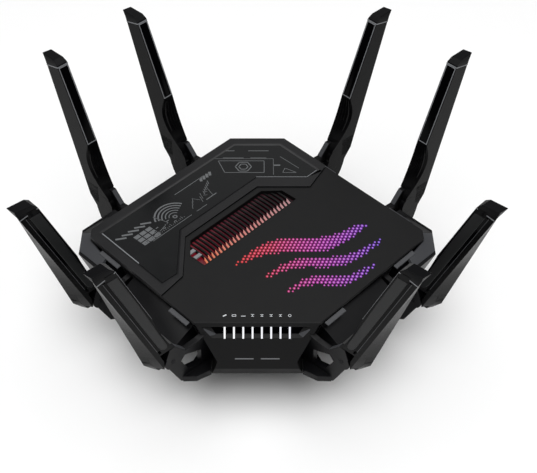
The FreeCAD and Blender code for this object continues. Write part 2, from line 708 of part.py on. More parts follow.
def make_usb_sockets():
    """Two stacked USB shells in one metal can."""
    can = block("usb_can", ("usb_wide", "usb_deep", "2 * usb_high"),
                ("usb_x - usb_wide / 2", f"{JACK_FRONT} - usb_deep", IO_TOP))
    mouths = []
    for level_up in (0, 1):
        mouths.append(block("usb_mouth", ("usb_wide - 2 * usb_skin", "usb_deep", "usb_high - 2 * usb_skin"),
                            ("usb_x - usb_wide / 2 + usb_skin", f"{JACK_FRONT} - usb_deep + 2 * usb_skin",
                             f"{IO_TOP} + {level_up} * usb_high + usb_skin")))
    return cut("usb_sockets", can, joined("usb_mouths", mouths))


def make_dc_inlet():
    length = "inlet_deep + 3"
    start = f"{JACK_FRONT} - ({length})"
    barrel = rod_back("barrel", "inlet_body", length, ("inlet_x", start, INLET_HIGH))
    mouth = ("inlet_x", f"{JACK_FRONT} - inlet_deep", INLET_HIGH)
    bore = rod_back("bore", "inlet_bore", "inlet_deep + 1", mouth)
    root = ("inlet_x", f"{JACK_FRONT} - inlet_deep - 1", INLET_HIGH)
    contact = rod_back("contact", "inlet_bore / 3", "inlet_deep", root)
    return joined("dc_inlet", [cut("inlet_shell", barrel, bore), contact])


def make_rubber_feet():
    feet = [rod("foot", "foot_radius", "foot_high", (f"{x} * foot_x", f"{y} * foot_y", "0"))
            for x in (-1, 1) for y in (-1, 1)]
    return together("rubber_feet", feet)


# ---------------------------------------------------------------- controls on the socket bay
def make_power_rocker():
    """A rocker cap modelled about its own pivot, tipped into its on position."""
    body = new_body("power_rocker")
    reach = "(rocker_reach - button_gap)"
    outline = [("-3.5", "-3"), ("-0.6", f"-{reach}"), ("2.6", f"-{reach}"), ("1.2", "0"),
               ("2.6", reach), ("-0.6", reach), ("-3.5", "3")]
    profile(body, "Pad", outline, "-rocker_half", "rocker_half")
    body.Placement.Rotation = FreeCAD.Rotation(FreeCAD.Vector(-1, 0, 0), value("rocker_tip"))
    body.setExpression("Placement.Rotation.Angle", ref("rocker_tip"))
    body.setExpression("Placement.Base.x", ref("rocker_x"))
    body.setExpression("Placement.Base.y", ref("bay_back - wall / 2"))
    body.setExpression("Placement.Base.z", ref("upper_row"))
    return body


def make_button(label, radius, height):
    """A push button with a collar behind the bay's wall."""
    behind = "(bay_back - wall - 2 * fit_gap)"
    stem = rod_back("stem", radius, "wall + 2 * fit_gap + button_proud", ("button_x", behind, height))
    collar = rod_back("collar", f"{radius} + 0.8", "1.2", ("button_x", f"{behind} - 1.2", height))
    return joined(label, [stem, collar])


# ---------------------------------------------------------------- side carriers
def arm_profile():
    """Outline of a fixed arm, as out and up places, and the outline of the hole through it."""
    low_in = case_side("20")
    outer = [(low_in, "20"), ("pivot_out - 20", "pivot_high - 35.5"), ("pivot_out - 6.5", "pivot_high - 27"),
             ("pivot_out + 4", "pivot_high - 6"), ("pivot_out + 5.5", "pivot_high"),
             ("pivot_out + 6", "pivot_high + 6"), ("pivot_out + 2.6", "pivot_high + 14.2"),
             ("pivot_out - 3", "pivot_high + 14.2"),
             ("pivot_out - 12.5", "pivot_high + 3.5"), ("pivot_out - 25", "arm_crest"),
             (case_side("spine_high"), "spine_high"), (case_side("34"), "34")]
    hole = [("pivot_out - 27", "pivot_high - 21"), ("pivot_out - 14", "pivot_high - 18"),
            ("pivot_out - 7.5", "pivot_high - 5.5"), ("pivot_out - 11.5", "pivot_high - 1"),
            ("pivot_out - 27", "pivot_high - 7")]
    return outer, hole


def make_side_carrier(label, has_strut, beside_bay):
    """The mounting rail of one long side, with two hinge arms, a ledge and half a corner wing."""
    body = new_body(label)
    start = "-(antenna_along + antenna_wide / 2)"
    rail = [(case_side("spine_high"), "spine_high"), (f"{case_side('spine_high')} + spine", "spine_high"),
            (f"{case_side('spine_low')} + spine", "spine_low"), (case_side("spine_low"), "spine_low")]
    upright(body, "Pad", [rail], start, "wing_start + 1")
    ledge = [(case_side("spine_high"), "spine_high"), (f"{case_side('spine_high')} + spine", "spine_high"),
             ("ledge_out", "ledge_high"), ("ledge_out", "ledge_high - ledge_thick"),
             (case_side("spine_low"), "spine_low")]
    upright(body, "Pad", [ledge], "-ledge_half", "ledge_half")
    for middle in ("-antenna_along", "antenna_along"):
        outer, hole = arm_profile()
        low = f"({middle} - antenna_wide / 2)"
        high = f"({middle} - lap_gap)"
        upright(body, "Pad", [outer, hole], low, high)
        upright(body, "Pad", [], low, high, [("pivot_out", "pivot_high", "knuckle")])
        upright(body, "Pocket", [], f"{low} - 1", f"{high} + 1", [("pivot_out", "pivot_high", "pin_radius")])
    loft(body, "AdditiveLoft", [wing_section("wing_low"), wing_section("wing_high")])
    if has_strut:
        level(body, "Pad", [strut_outline()], "strut_low", "strut_low + strut_thick")
    if beside_bay:
        bay = [plan_to_side(x, y) for x, y in rectangle("-bay_half", "bay_half", "bay_start", "bay_back")]
        level(body, "Pocket", [bay], "0", "bay_high")
    return put_on_side(body, "0")


def wing_section(height):
    """A level section of the corner wing: from the side to the middle of the left corner edge."""
    drop = f"wing_slope * (wing_high - {height})"
    out = f"(wing_out - {drop})"
    half = f"(wing_half - {drop})"
    case = case_side(height)
    case_half = f"(({case} - case_corner * {COS}) / {SIN})"
    tip = f"(({out} - {half} * {SIN}) / {COS})"
    corners = [plan_to_side(f"-{case_half}", "0"), plan_to_side(f"-{half}", "0"),
               plan_to_side(f"-{half}", tip),
               (out, "wing_start"), (case, "wing_start"), plan_to_side(f"-{case_half}", "case_corner")]
    return height, corners


def strut_outline():
    """The level web between the arm nearest the front corner and the casing's front wall."""
    arm = "-(antenna_along + antenna_wide / 2)"
    high = "strut_low + strut_thick"
    case_half = f"(({case_side(high)} - {case_front(high)} * {COS}) / {SIN})"
    beside = "-(panel_foot + fit_gap)"
    return [("pivot_out - 8", arm), ("pivot_out - 16", f"{arm} - 7"),
            plan_to_side(beside, "panel_front - 2 * panel_tuck"), plan_to_side(beside, case_front(high)),
            plan_to_side(f"-{case_half}", case_front(high)), ("pivot_out - 10", f"{arm} + 1")]


# ---------------------------------------------------------------- antennas, modelled as (out, along, up)
def near_out(height):
    """Out distance of a blade's near outer edge."""
    return f"(blade_foot + ({height} - blade_low) * tan(lean))"


def far_out(height):
    """Out distance of a blade's far outer edge."""
    return f"(tip_out - (blade_high - {height}) * tan(flare))"


def inner(height):
    """Out distance of a blade's inner face."""
    return f"({near_out(height)} - blade_deep)"


def blade_section(height, waist="0", knee="0"):
    """A level section of the blade: near edge towards the back corner, far edge towards the left."""
    near = "-antenna_wide / 2"
    far = "antenna_wide / 2"
    return height, [(inner(height), near), (near_out(height), near), (f"{far_out(height)} - {knee}", far),
                    (f"{inner(height)} + {waist}", far)]


def inset_strip(start, end, low, high):
    """A strip along the blade's inner face, between two depths and two heights."""
    return [(f"{inner(low)} + {start}", low), (f"{inner(high)} + {start}", high),
            (f"{inner(high)} + {end}", high), (f"{inner(low)} + {end}", low)]


def make_blade(label, along):
    body = new_body(label)
    loft(body, "AdditiveLoft", [blade_section("blade_low", "2", "knee_cut"), blade_section("knee_high", "2"),
                                blade_section("waist_low", "waist_cut"),
                                blade_section("waist_high", "waist_cut"),
                                blade_section("window_low"), blade_section("blade_high")])
    half = "antenna_wide / 2"
    notch = rectangle("pivot_out - 30", "notch_out", "blade_low - 2", "notch_high")
    upright(body, "Pocket", [notch], f"-({half} + 1)", "lap_gap")
    upright(body, "Pad", [], "lap_gap", half, [("pivot_out", "pivot_high", "blade_knuckle")])
    upright(body, "Pocket", [], "-1", f"{half} + 1", [("pivot_out", "pivot_high", "pin_radius + pin_gap")])
    window = inset_strip("-2", "window_deep", "window_low + 1", "blade_high - 1")
    upright(body, "Pocket", [window], f"-({half} - window_margin)", f"{half} - window_margin")
    slot = inset_strip("window_deep - 1", "window_deep + aerial_deep + fit_gap",
                       "window_low + 3", "blade_high - 3")
    upright(body, "Pocket", [slot], "-aerial_slot / 2", "aerial_slot / 2")
    return put_on_side(body, along)


def make_window(label, along):
    body = new_body(label)
    half = "antenna_wide / 2 - window_margin - fit_gap / 2"
    strip = inset_strip("0", "window_deep", "window_low + 1 + fit_gap", "blade_high - 1 - fit_gap")
    upright(body, "Pad", [strip], f"-({half})", half)
    return put_on_side(body, along)


def make_cap(label, along):
    body = new_body(label)
    outline = [(f"{inner('blade_high')} + 0.2", "blade_high"), ("cap_in", "cap_high - 0.6"),
               ("cap_out", "cap_high"), ("cap_out - 1.2", "blade_high")]
    upright(body, "Pad", [outline], "-antenna_wide / 2", "antenna_wide / 2")
    return put_on_side(body, along)


def make_aerial(label, along):
    body = new_body(label)
    strip = inset_strip("window_deep", "window_deep + aerial_deep", "window_low + 4", "blade_high - 4")
    half = "(aerial_slot / 2 - fit_gap / 2)"
    upright(body, "Pad", [strip], f"-{half}", half)
    return put_on_side(body, along)


def make_pin(along):
    body = new_body("pin")
    shank = ("pivot_out", "pivot_high", "pin_radius")
    upright(body, "Pad", [], "-antenna_wide / 2", "antenna_wide / 2", [shank])
    return put_on_side(body, along)


FRONT_OF = {"back_left": "front_left", "left_back": "left_front"}
RIGHT_OF = {"back_left": "back_right", "left_back": "right_back",
            "front_left": "front_right", "left_front": "right_front"}
ACROSS = FreeCAD.Vector(1, 0, 0)
ENDWAYS = FreeCAD.Vector(0, 1, 0)


def make_antennas():
    """Four pieces for each of the eight antennas: two are modelled, six are mirrored."""
    makers = {"blade": make_blade, "window": make_window, "cap": make_cap, "aerial": make_aerial}
    nodes = []
    for piece, maker in makers.items():
        for place, along in zip(BACK_ROW, ("-antenna_along", "antenna_along")):
            first = maker(f"antenna_{place}_{piece}", along)
            front = FRONT_OF[place]
            second = mirror(f"antenna_{front}_{piece}", first, ENDWAYS)
            nodes += [first, second]
            nodes.append(mirror(f"antenna_{RIGHT_OF[place]}_{piece}", first, ACROSS))
            nodes.append(mirror(f"antenna_{RIGHT_OF[front]}_{piece}", second, ACROSS))
    return nodes


def make_hinge_pins():
    back = together("pins_back", [make_pin("-antenna_along"), make_pin("antenna_along")])
    left = together("pins_left", [back, mirror("pins_front", back, ENDWAYS)])
    return together("hinge_pins", [left, mirror("pins_right", left, ACROSS)])


def make_carriers():
    back = make_side_carrier("side_carrier_back_left", False, True)
    front_master = make_side_carrier("front_master", True, False)
    front = mirror("side_carrier_front_left", front_master, ENDWAYS)
    return [back, front, mirror("side_carrier_back_right", back, ACROSS),
            mirror("side_carrier_front_right", front, ACROSS)]


def make_router():
    nodes = [make_lower_case(), make_top_cover(), make_window_frame(), make_window_panel(),
             make_vent_grille(), make_vent_light_guide(), make_matrix_light_panel(), make_light_board(),
             make_front_panel(), make_led_light_bars(), make_main_board(), make_board_screws(),
             make_rf_shields(), make_heatsink(), make_ethernet_sockets(), make_io_board(),
             make_usb_sockets(), make_dc_inlet(), make_rubber_feet(), make_power_rocker(),
             make_button("wps_button", "button_radius", "upper_row + button_step"),
             make_button("reset_button", "reset_radius", "upper_row"),
             make_button("led_button", "button_radius", "upper_row - button_step"), make_hinge_pins()]
    return nodes + make_carriers() + make_antennas()


def check(nodes):
    """Refuse to write anything if an object failed or a node's shape is empty or broken."""
    for item in doc.Objects:
        if "Invalid" in item.State or "Error" in item.State:
            raise RuntimeError(f"{item.Label} failed: {item.State}")
    for node in nodes:
        if node.Shape.isNull() or not node.Shape.isValid() or not node.Shape.Solids:
            raise RuntimeError(f"{node.Label} has no valid solid")


def write(nodes):
    os.makedirs("parts", exist_ok=True)
    for node in nodes:
        node.Shape.exportStep(f"parts/{node.Label}.step")


router = make_router()
doc.recompute()
check(router)
write(router)
box = Part.makeCompound([node.Shape for node in router]).BoundBox
print(len(router), "nodes", round(box.XLength, 1), round(box.YLength, 1), round(box.ZLength, 1))
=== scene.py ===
# %% [markdown]
# # A desktop wireless router with eight tilting antennas
# The router's body has four long sides and four short ones. Each long side carries two blade antennas that
# lean outwards on hinges. The CAD frame holds every part at its real size, and this lesson gives the
# parts that show their finished surfaces. Lengths are written in millimetres and turned to metres once.
# Places on a long side are given as out, along and up: out is square to the side from the router's
# middle, along runs in the side's direction towards the left or right corner, and up is the height.

# %% Load the frame
import json
import bmesh
import bpy
import numpy as np
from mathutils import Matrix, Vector


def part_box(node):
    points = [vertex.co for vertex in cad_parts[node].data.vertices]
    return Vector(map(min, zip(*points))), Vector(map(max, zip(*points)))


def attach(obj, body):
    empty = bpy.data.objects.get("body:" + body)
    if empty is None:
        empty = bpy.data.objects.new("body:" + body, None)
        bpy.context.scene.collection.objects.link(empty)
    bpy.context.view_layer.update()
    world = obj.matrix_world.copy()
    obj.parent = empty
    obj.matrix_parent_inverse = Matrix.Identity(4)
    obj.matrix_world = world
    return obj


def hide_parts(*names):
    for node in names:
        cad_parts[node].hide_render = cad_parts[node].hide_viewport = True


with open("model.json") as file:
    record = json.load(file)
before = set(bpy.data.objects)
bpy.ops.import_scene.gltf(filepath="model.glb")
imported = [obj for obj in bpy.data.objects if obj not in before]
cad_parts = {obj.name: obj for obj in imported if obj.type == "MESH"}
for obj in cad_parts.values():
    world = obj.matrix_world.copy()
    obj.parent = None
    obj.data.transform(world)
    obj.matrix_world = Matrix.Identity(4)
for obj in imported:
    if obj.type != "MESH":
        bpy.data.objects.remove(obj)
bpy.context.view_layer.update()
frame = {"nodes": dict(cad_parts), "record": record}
MM = 0.001

# %% [markdown]
# ## The camera
# A product view looks down at a table from arm's length with a long lens, which keeps edges nearly
# parallel. A camera looks along its own -Z axis, so the turn comes from the line to the target.
# A small sideways shift puts the router slightly left of the middle without turning the view.

# %% Camera
SEE_FROM = Vector((0.0, -0.7251, 0.7370))
SEE_AT = Vector((0.0, 0.0, 0.07216))
camera_data = bpy.data.cameras.new("camera")
camera_data.sensor_width = 36.0
camera_data.lens = 80.74
camera_data.shift_x = 0.021
camera = bpy.data.objects.new("camera", camera_data)
camera.location = SEE_FROM
camera.rotation_euler = (SEE_AT - SEE_FROM).to_track_quat("-Z", "Y").to_euler()
bpy.context.scene.collection.objects.link(camera)
bpy.context.scene.camera = camera
print("camera to target, m:", round((SEE_AT - SEE_FROM).length, 3))

# %% [markdown]
# ## Colours and nodes
# Colours are quoted as the hex values that a paint chart or a drawing program gives. Blender shades with
# linear light, so each value passes through one function. One more function adds a node, sets its
# values and makes its links, which keeps a material readable as a list of steps.


# %% Colour and node helpers
def linear(code):
    """A hex sRGB colour as linear light: c / 12.92 below 0.04045, ((c + 0.055) / 1.055) ^ 2.4 above."""
    parts = np.array([int(code[i:i + 2], 16) for i in (1, 3, 5)]) / 255.0
    light = np.where(parts <= 0.04045, parts / 12.92, ((parts + 0.055) / 1.055) ** 2.4)
    return (*[float(value) for value in light], 1.0)


def add_node(tree, kind, inputs=None, **settings):
    """Adds one node. Inputs are given by name or number, each as a value or as another node's output."""
    node = tree.nodes.new(kind)
    for name, value in settings.items():
        setattr(node, name, value)
    for name, value in (inputs or {}).items():
        if isinstance(value, bpy.types.NodeSocket):
            tree.links.new(value, node.inputs[name])
        else:
            node.inputs[name].default_value = value
    return node


def new_material(name, colour, **shader):
    """A material with one Principled shader. Its constant values go straight on the shader's sockets."""
    material = bpy.data.materials.new(name)
    material.use_nodes = True
    tree = material.node_tree
    principled = tree.nodes["Principled BSDF"]
    principled.inputs["Base Color"].default_value = linear(colour)
    for key, value in shader.items():
        principled.inputs[key.replace("_", " ").title().replace("Ior", "IOR")].default_value = value
    return material, tree, principled


BROAD_MM = 18.0


def grain(tree, principled, size_mm, height_mm, rough_low, rough_high):
    """Moulded grain: noise of that size bumps the surface, and a broader noise varies the roughness."""
    where = add_node(tree, "ShaderNodeTexCoord").outputs["Object"]
    fine = add_node(tree, "ShaderNodeTexNoise", {"Vector": where, "Scale": 1.0 / (size_mm * MM),
                                                 "Detail": 2.0})
    bump = add_node(tree, "ShaderNodeBump", {"Height": fine.outputs["Fac"], "Distance": height_mm * MM,
                                             "Strength": 1.0})
    broad = add_node(tree, "ShaderNodeTexNoise", {"Vector": where, "Scale": 1.0 / (BROAD_MM * MM),
                                                  "Detail": 3.0})
    spread = add_node(tree, "ShaderNodeMapRange", {"Value": broad.outputs["Fac"], "From Min": 0.3,
                                                   "From Max": 0.7, "To Min": rough_low,
                                                   "To Max": rough_high})
    tree.links.new(bump.outputs["Normal"], principled.inputs["Normal"])
    tree.links.new(spread.outputs["Result"], principled.inputs["Roughness"])


# %% [markdown]
# ## Moulded plastics
# Nearly everything outside is ABS, a tough plastic with an index of refraction of about 1.54. What
# changes from part to part is the mould. A spark-eroded mould leaves a matte grain of about 0.1 mm, and
# a polished mould leaves a gloss. The grain here is drawn a few times coarser, because the true size
# wouldn't show at this distance. The case and the blades are darkest, and the cover a shade lighter.

# %% Moulded and printed finishes
# Index of refraction of each plastic, of ink and resist, and of silicone rubber.
ABS, POLYCARBONATE, NYLON, INK, SILICONE = 1.54, 1.58, 1.53, 1.5, 1.41


def finish(name, colour, refraction, size_mm, height_mm, rough, **shader):
    """One colour under a grain of that size and height. Rough is the lowest and highest roughness."""
    material, tree, principled = new_material(name, colour, ior=refraction, **shader)
    grain(tree, principled, size_mm, height_mm, *rough)
    return material


# Matte skins from spark-eroded moulds: the top cover, and the case under it.
cover_abs = finish("spark_eroded_abs_charcoal", "#0a0a0b", ABS, 0.5, 0.02, (0.5, 0.58),
                   specular_ior_level=0.2)
case_abs = finish("spark_eroded_abs_black", "#060607", ABS, 0.5, 0.02, (0.48, 0.56),
                  specular_ior_level=0.2)
# Satin skins: the window's frame and the side carriers. The pale grey is painted highlight on facets that
# face the light box.
bezel_abs = finish("satin_moulded_abs_grey", "#0e0e10", ABS, 0.4, 0.01, (0.38, 0.45),
                   specular_ior_level=0.3)
carrier_abs = finish("satin_moulded_abs_dark", "#08080a", ABS, 0.4, 0.01, (0.34, 0.42),
                     specular_ior_level=0.15)
highlight_grey_abs = finish("painted_highlight_pale_grey_abs", "#3b3c3f", ABS, 0.4, 0.01, (0.38, 0.45),
                   specular_ior_level=0.3)
# Antennas: a polished blade and cap, with a satin pad on the near side.
blade_abs = finish("polished_abs_black", "#060607", ABS, 0.8, 0.008, (0.24, 0.3), specular_ior_level=0.06)
pad_abs = finish("satin_moulded_abs_blade_pad", "#0f1011", ABS, 0.8, 0.008, (0.3, 0.36),
                 specular_ior_level=0.2)
cap_abs = finish("polished_abs_cap", "#060608", ABS, 0.8, 0.006, (0.22, 0.28), specular_ior_level=0.08)
# Clear plastics over black: the antennas' windows, and the smoked window in the cover.
window_pc = finish("polished_polycarbonate_black", "#010102", POLYCARBONATE, 6.0, 0.004, (0.06, 0.1),
                   specular_ior_level=0.04)
smoked_pc = finish("smoked_polycarbonate", "#101112", POLYCARBONATE, 5.0, 0.003, (0.2, 0.26),
                   specular_ior_level=0.2)
# Paints and inks: silver grey as painted highlight on rims and bevels, pale ink on the window, white ink on
# the icons.
silver_grey_and_highlight_paint = finish("silver_grey_print_and_painted_highlight", "#76787b", INK, 0.6, 0.004, (0.3, 0.38))
ink = finish("screen_printed_pale_ink", "#5a5c5e", INK, 0.8, 0.003, (0.42, 0.5))
icon_ink = finish("pad_printed_white_ink", "#c9cccf", INK, 0.8, 0.003, (0.42, 0.5))
# Feet of silicone rubber, which is rough enough to look dull from every side.
rubber = finish("moulded_silicone_rubber", "#141414", SILICONE, 0.6, 0.03, (0.75, 0.85))
print("finishes so far:", len(bpy.data.materials))

# %% Lit plastics
def lit_material(name, stops, along, start_mm, end_mm, strength):
    """Light shining through a diffuser: its colour runs through stops between two places on an axis."""
    material, tree, principled = new_material(name, "#0b0b0c", ior=1.5, roughness=0.4)
    where = add_node(tree, "ShaderNodeTexCoord").outputs["Object"]
    turned = add_node(tree, "ShaderNodeVectorMath", {0: where, 1: along}, operation="DOT_PRODUCT")
    share = add_node(tree, "ShaderNodeMapRange", {"Value": turned.outputs["Value"],
                                                  "From Min": start_mm * MM, "From Max": end_mm * MM})
    ramp = add_node(tree, "ShaderNodeValToRGB", {"Fac": share.outputs["Result"]})
    while len(ramp.color_ramp.elements) < len(stops):
        ramp.color_ramp.elements.new(0.5)
    for element, (place, colour) in zip(ramp.color_ramp.elements, stops):
        element.position = place
        element.color = linear(colour)
    tree.links.new(ramp.outputs["Color"], principled.inputs["Emission Color"])
    principled.inputs["Emission Strength"].default_value = strength
    return material


SIDE_ANGLE = np.radians(47.2)
SIN, COS = np.sin(SIDE_ANGLE), np.cos(SIDE_ANGLE)
TOWARDS_RIGHT, TOWARDS_LEFT = (1.0, 0.0, 0.0), (-COS, -SIN, 0.0)
MATRIX_START, MATRIX_END = -20, 100
VENT_BACK, VENT_LEFT = -55.0, 56.0
DOT_COLOURS = [(0.0, "#c01408"), (0.25, "#bc0640"), (0.6, "#a80aa0"), (1.0, "#6422c0")]
CORE_COLOURS = [(0.0, "#ff6a50"), (0.4, "#f49ad4"), (1.0, "#cdbcf4")]
WELL_COLOURS = [(0.0, "#2c0814"), (0.5, "#560c22"), (1.0, "#8c1024")]
TIP_COLOURS = [(0.0, "#c49a9e"), (0.5, "#e0938c"), (1.0, "#f08a5c")]
WHITES = [(0.0, "#ffffff"), (1.0, "#f4f6ff")]
matrix_glow = lit_material("lit_dot_diffuser", DOT_COLOURS, TOWARDS_RIGHT, MATRIX_START, MATRIX_END, 0.95)
matrix_core = lit_material("lit_dot_core", CORE_COLOURS, TOWARDS_RIGHT, MATRIX_START, MATRIX_END, 1.0)
vent_glow = lit_material("lit_vent_diffuser", WELL_COLOURS, TOWARDS_LEFT, VENT_BACK, VENT_LEFT, 0.5)
vent_tips = lit_material("lit_vent_light_bars", TIP_COLOURS, TOWARDS_LEFT, VENT_BACK, VENT_LEFT, 0.8)
bar_glow = lit_material("lit_status_light_pipe", WHITES, TOWARDS_RIGHT, -30, 30, 1.0)
print("with lit plastics:", len(bpy.data.materials))

# %% [markdown]
# ## Metals and boards
# The sockets at the back show nickel-plated steel and gold-plated contacts, and inside are a tinned
# shield, an extruded aluminium heatsink and glass-fibre boards under green solder resist.

# %% Metals and boards
def brushed(name, colour, roughness, size_mm):
    """A metal worked in one direction: noise stretched along X gives streaks of the quoted width."""
    material, tree, principled = new_material(name, colour, metallic=1.0, roughness=roughness)
    where = add_node(tree, "ShaderNodeTexCoord").outputs["Object"]
    stretched = add_node(tree, "ShaderNodeMapping", {"Vector": where, "Scale": (0.05, 1.0, 1.0)})
    streaks = add_node(tree, "ShaderNodeTexNoise", {"Vector": stretched.outputs["Vector"],
                                                    "Scale": 1.0 / (size_mm * MM), "Detail": 3.0})
    spread = add_node(tree, "ShaderNodeMapRange", {"Value": streaks.outputs["Fac"],
                                                   "To Min": roughness - 0.08, "To Max": roughness + 0.12})
    tree.links.new(spread.outputs["Result"], principled.inputs["Roughness"])
    return material


nickel_plate = brushed("nickel_plated_steel", "#b9b6ae", 0.28, 0.4)
tin_plate = brushed("tinned_steel_sheet", "#c9c9c7", 0.35, 0.5)
sink_metal = brushed("extruded_aluminium", "#d2d3d4", 0.4, 0.3)
gold_plate = brushed("gold_plated_contact", "#e8c26a", 0.25, 0.3)
black_oxide = brushed("black_oxide_steel", "#1a1a1c", 0.4, 0.3)
solder_resist = finish("glass_fibre_board_green_resist", "#0f3a26", INK, 1.2, 0.01, (0.3, 0.42))
socket_nylon = finish("moulded_glass_filled_nylon", "#101011", NYLON, 0.3, 0.015, (0.5, 0.6))
print("with metals and boards:", len(bpy.data.materials))

# %% Finish every CAD node that stays
NODE_FINISH = {
    "case_black": case_abs, "cover_charcoal": cover_abs, "frame_grey": bezel_abs,
    "carrier_grey": carrier_abs,
    "antenna_black": blade_abs, "window_black": window_pc, "cap_black": cap_abs, "smoked_panel": smoked_pc,
    "grille_black": case_abs, "red_light": vent_glow, "matrix_light": matrix_glow, "white_light": bar_glow,
    "circuit_board": solder_resist, "shield_tin": tin_plate, "heatsink_aluminium": sink_metal,
    "socket_black": socket_nylon, "steel": nickel_plate, "button_grey": bezel_abs, "foot_rubber": rubber}
for part in frame["record"]["subparts"]:
    mesh = frame["nodes"][part["node"]].data
    mesh.materials.clear()
    mesh.materials.append(NODE_FINISH[part["material_slot"]])
frame["nodes"]["hinge_pins"].data.materials[0] = black_oxide

# %% [markdown]
# ## Surfaces from numbers
# Each new piece is a stack of rings: a closed outline repeated along a direction, while its points
# move by a formula. One function joins neighbouring rings with four-sided faces and closes the two
# ends, and one turns any number of such shells into a piece that rides on its CAD body. Working on
# whole arrays keeps the shape in one formula, and it is quicker than moving vertices one by one.


# %% Shells and pieces
def shell(rings, looped=False):
    """Points and faces over rings of equal length: quads between neighbours, and a cap on each end.
    A looped stack joins its last ring to its first one instead, like a picture frame."""
    rings = np.asarray(rings, float)
    count, around = rings.shape[:2]
    index = np.arange(count * around).reshape(count, around)
    near = index if looped else index[:-1]
    far = np.roll(index, -1, 0) if looped else index[1:]
    quads = np.stack([near, np.roll(near, -1, 1), np.roll(far, -1, 1), far], -1).reshape(-1, 4)
    caps = [] if looped else [index[0][::-1], index[-1]]
    return rings.reshape(-1, 3), [quads, *[cap[None, :] for cap in caps]]


def prism(outline, low, high):
    """A shell over a plan outline between two heights."""
    flat = np.asarray(outline, float)
    return shell([np.c_[flat, np.full(len(flat), height)] for height in (low, high)])


def bar(start, end, wide, low, high):
    """A straight bar in plan: its outline is the line from start to end, moved half its width each way."""
    start, end = np.asarray(start, float), np.asarray(end, float)
    run = (end - start) / np.linalg.norm(end - start)
    across = np.array([-run[1], run[0]]) * wide / 2
    return prism([start + across, end + across, end - across, start - across], low, high)


def strokes(line, wide, low, high, closed=False):
    """A bar for each run of a line through the given plan points."""
    points = [np.asarray(point, float) for point in line]
    pairs = list(zip(points, points[1:] + points[:1] if closed else points[1:]))
    return [bar(start, end, wide, low, high) for start, end in pairs]


def piece(name, shells, material, body, replaced=(), edge=0.0, turn=None):
    """Joins shells, given in millimetres, into one mesh in metres. Turn maps a piece's own places to the
    router's. Edge is the width of the rounded edge that a Bevel modifier cuts along sharp corners."""
    points, faces, start = [], [], 0
    for places, blocks in shells:
        points.append(places)
        for block in blocks:
            faces += (np.asarray(block) + start).tolist()
        start += len(places)
    places = np.concatenate(points)
    mesh = bpy.data.meshes.new(name)
    mesh.from_pydata((turn(places) if turn else places) * MM, [], faces)
    return dress(bpy.data.objects.new(name, mesh), material, body, replaced, edge)


SHARP_DEGREES = 26.0


def dress(thing, material, body, replaced=(), edge=0.0):
    """Points a piece's faces outwards, gives it its finish and edge, and sets it on its CAD body."""
    shape = bmesh.new()
    shape.from_mesh(thing.data)
    bmesh.ops.recalc_face_normals(shape, faces=shape.faces)
    shape.to_mesh(thing.data)
    shape.free()
    thing.data.polygons.foreach_set("use_smooth", np.ones(len(thing.data.polygons), bool))
    thing.data.set_sharp_from_angle(angle=np.radians(SHARP_DEGREES))
    thing.data.materials.clear()
    thing.data.materials.append(material)
    bpy.context.scene.collection.objects.link(thing)
    if edge:
        round_off = thing.modifiers.new("edge", "BEVEL")
        round_off.width = edge * MM
        round_off.segments = 2
        round_off.limit_method = "ANGLE"
        round_off.angle_limit = np.radians(SHARP_DEGREES)
        round_off.harden_normals = True
    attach(thing, body)
    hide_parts(*replaced)
    return thing


def rounded_cad(node, material, body, edge):
    """A copy of a CAD node with its triangles merged into flat faces and its edges rounded."""
    mesh = frame["nodes"][node].data.copy()
    mesh.name = node + "_rounded"
    shape = bmesh.new()
    shape.from_mesh(mesh)
    bmesh.ops.remove_doubles(shape, verts=shape.verts, dist=0.01 * MM)
    bmesh.ops.dissolve_limit(shape, angle_limit=np.radians(2), verts=shape.verts, edges=shape.edges)
    shape.to_mesh(mesh)
    shape.free()
    return dress(bpy.data.objects.new(mesh.name, mesh), material, body, [node], edge)


def on_side(local, place):
    """Out, along and up as X, Y and Z: X = -(out sin a + along cos a), Y = out cos a - along sin a.
    The front sides are mirrored in Y, and the right-hand sides in X."""
    out, along, up = np.moveaxis(np.asarray(local, float), -1, 0)
    across = -(out * SIN + along * COS)
    back = out * COS - along * SIN
    return np.stack([-across if "right" in place else across, -back if "front" in place else back, up], -1)


BODY = "router_body"
print("helpers ready")

# %% [markdown]
# ## Antenna blades
# A blade is a hollow moulding about 130 mm long. Its inner face and near edge lean 22.4 degrees from
# upright and its far edge leans less, so it widens downwards. A scooped waist sits below the polished
# window, and the lower end halves in thickness to lap its hinge arm. A groove runs down the near side.
# The four back blades also end in a tapered tail. A box with loop cuts would do, but one section that
# changes with height gives every edge a formula.

# %% Antenna blade shape
LEAN_ANGLE, FLARE_ANGLE = np.radians(22.4), np.radians(17.5)
LEAN, FLARE = np.tan(LEAN_ANGLE), np.tan(FLARE_ANGLE)
BLADE_LOW, BLADE_HIGH, BLADE_DEEP, HALF = 53.3, 182.0, 17.0, 5.2
PIVOT_OUT, PIVOT_HIGH, KNUCKLE, LAP = 131.0, 60.0, 8.0, 0.3
NOTCH_OUT, NOTCH_HIGH = 139.4, 75.0
NEAR_FOOT_OUT, FAR_TIP_OUT = 137.8, 188.6
KNEE_HIGH, KNEE_CUT = 62.0, 4.5
WAIST_LOW, WAIST_LONG, WAIST_NEAR, WAIST_FAR = 69.0, 47.0, 1.5, 11.5
GROOVE_LOW, GROOVE_HIGH, GROOVE_DEEP = 77.0, 178.0, 2.6


def near_out(up):
    """Out distance of the near outer edge: it grows by the tangent of the lean."""
    return NEAR_FOOT_OUT + (up - BLADE_LOW) * LEAN


def far_out(up):
    """Out distance of the far outer edge, with its knee cut back at the lower end."""
    knee = KNEE_CUT * np.clip((KNEE_HIGH - up) / (KNEE_HIGH - BLADE_LOW), 0, 1)
    return FAR_TIP_OUT - (BLADE_HIGH - up) * FLARE - knee


def inner_out(up):
    """Out distance of the inner face."""
    return near_out(up) - BLADE_DEEP


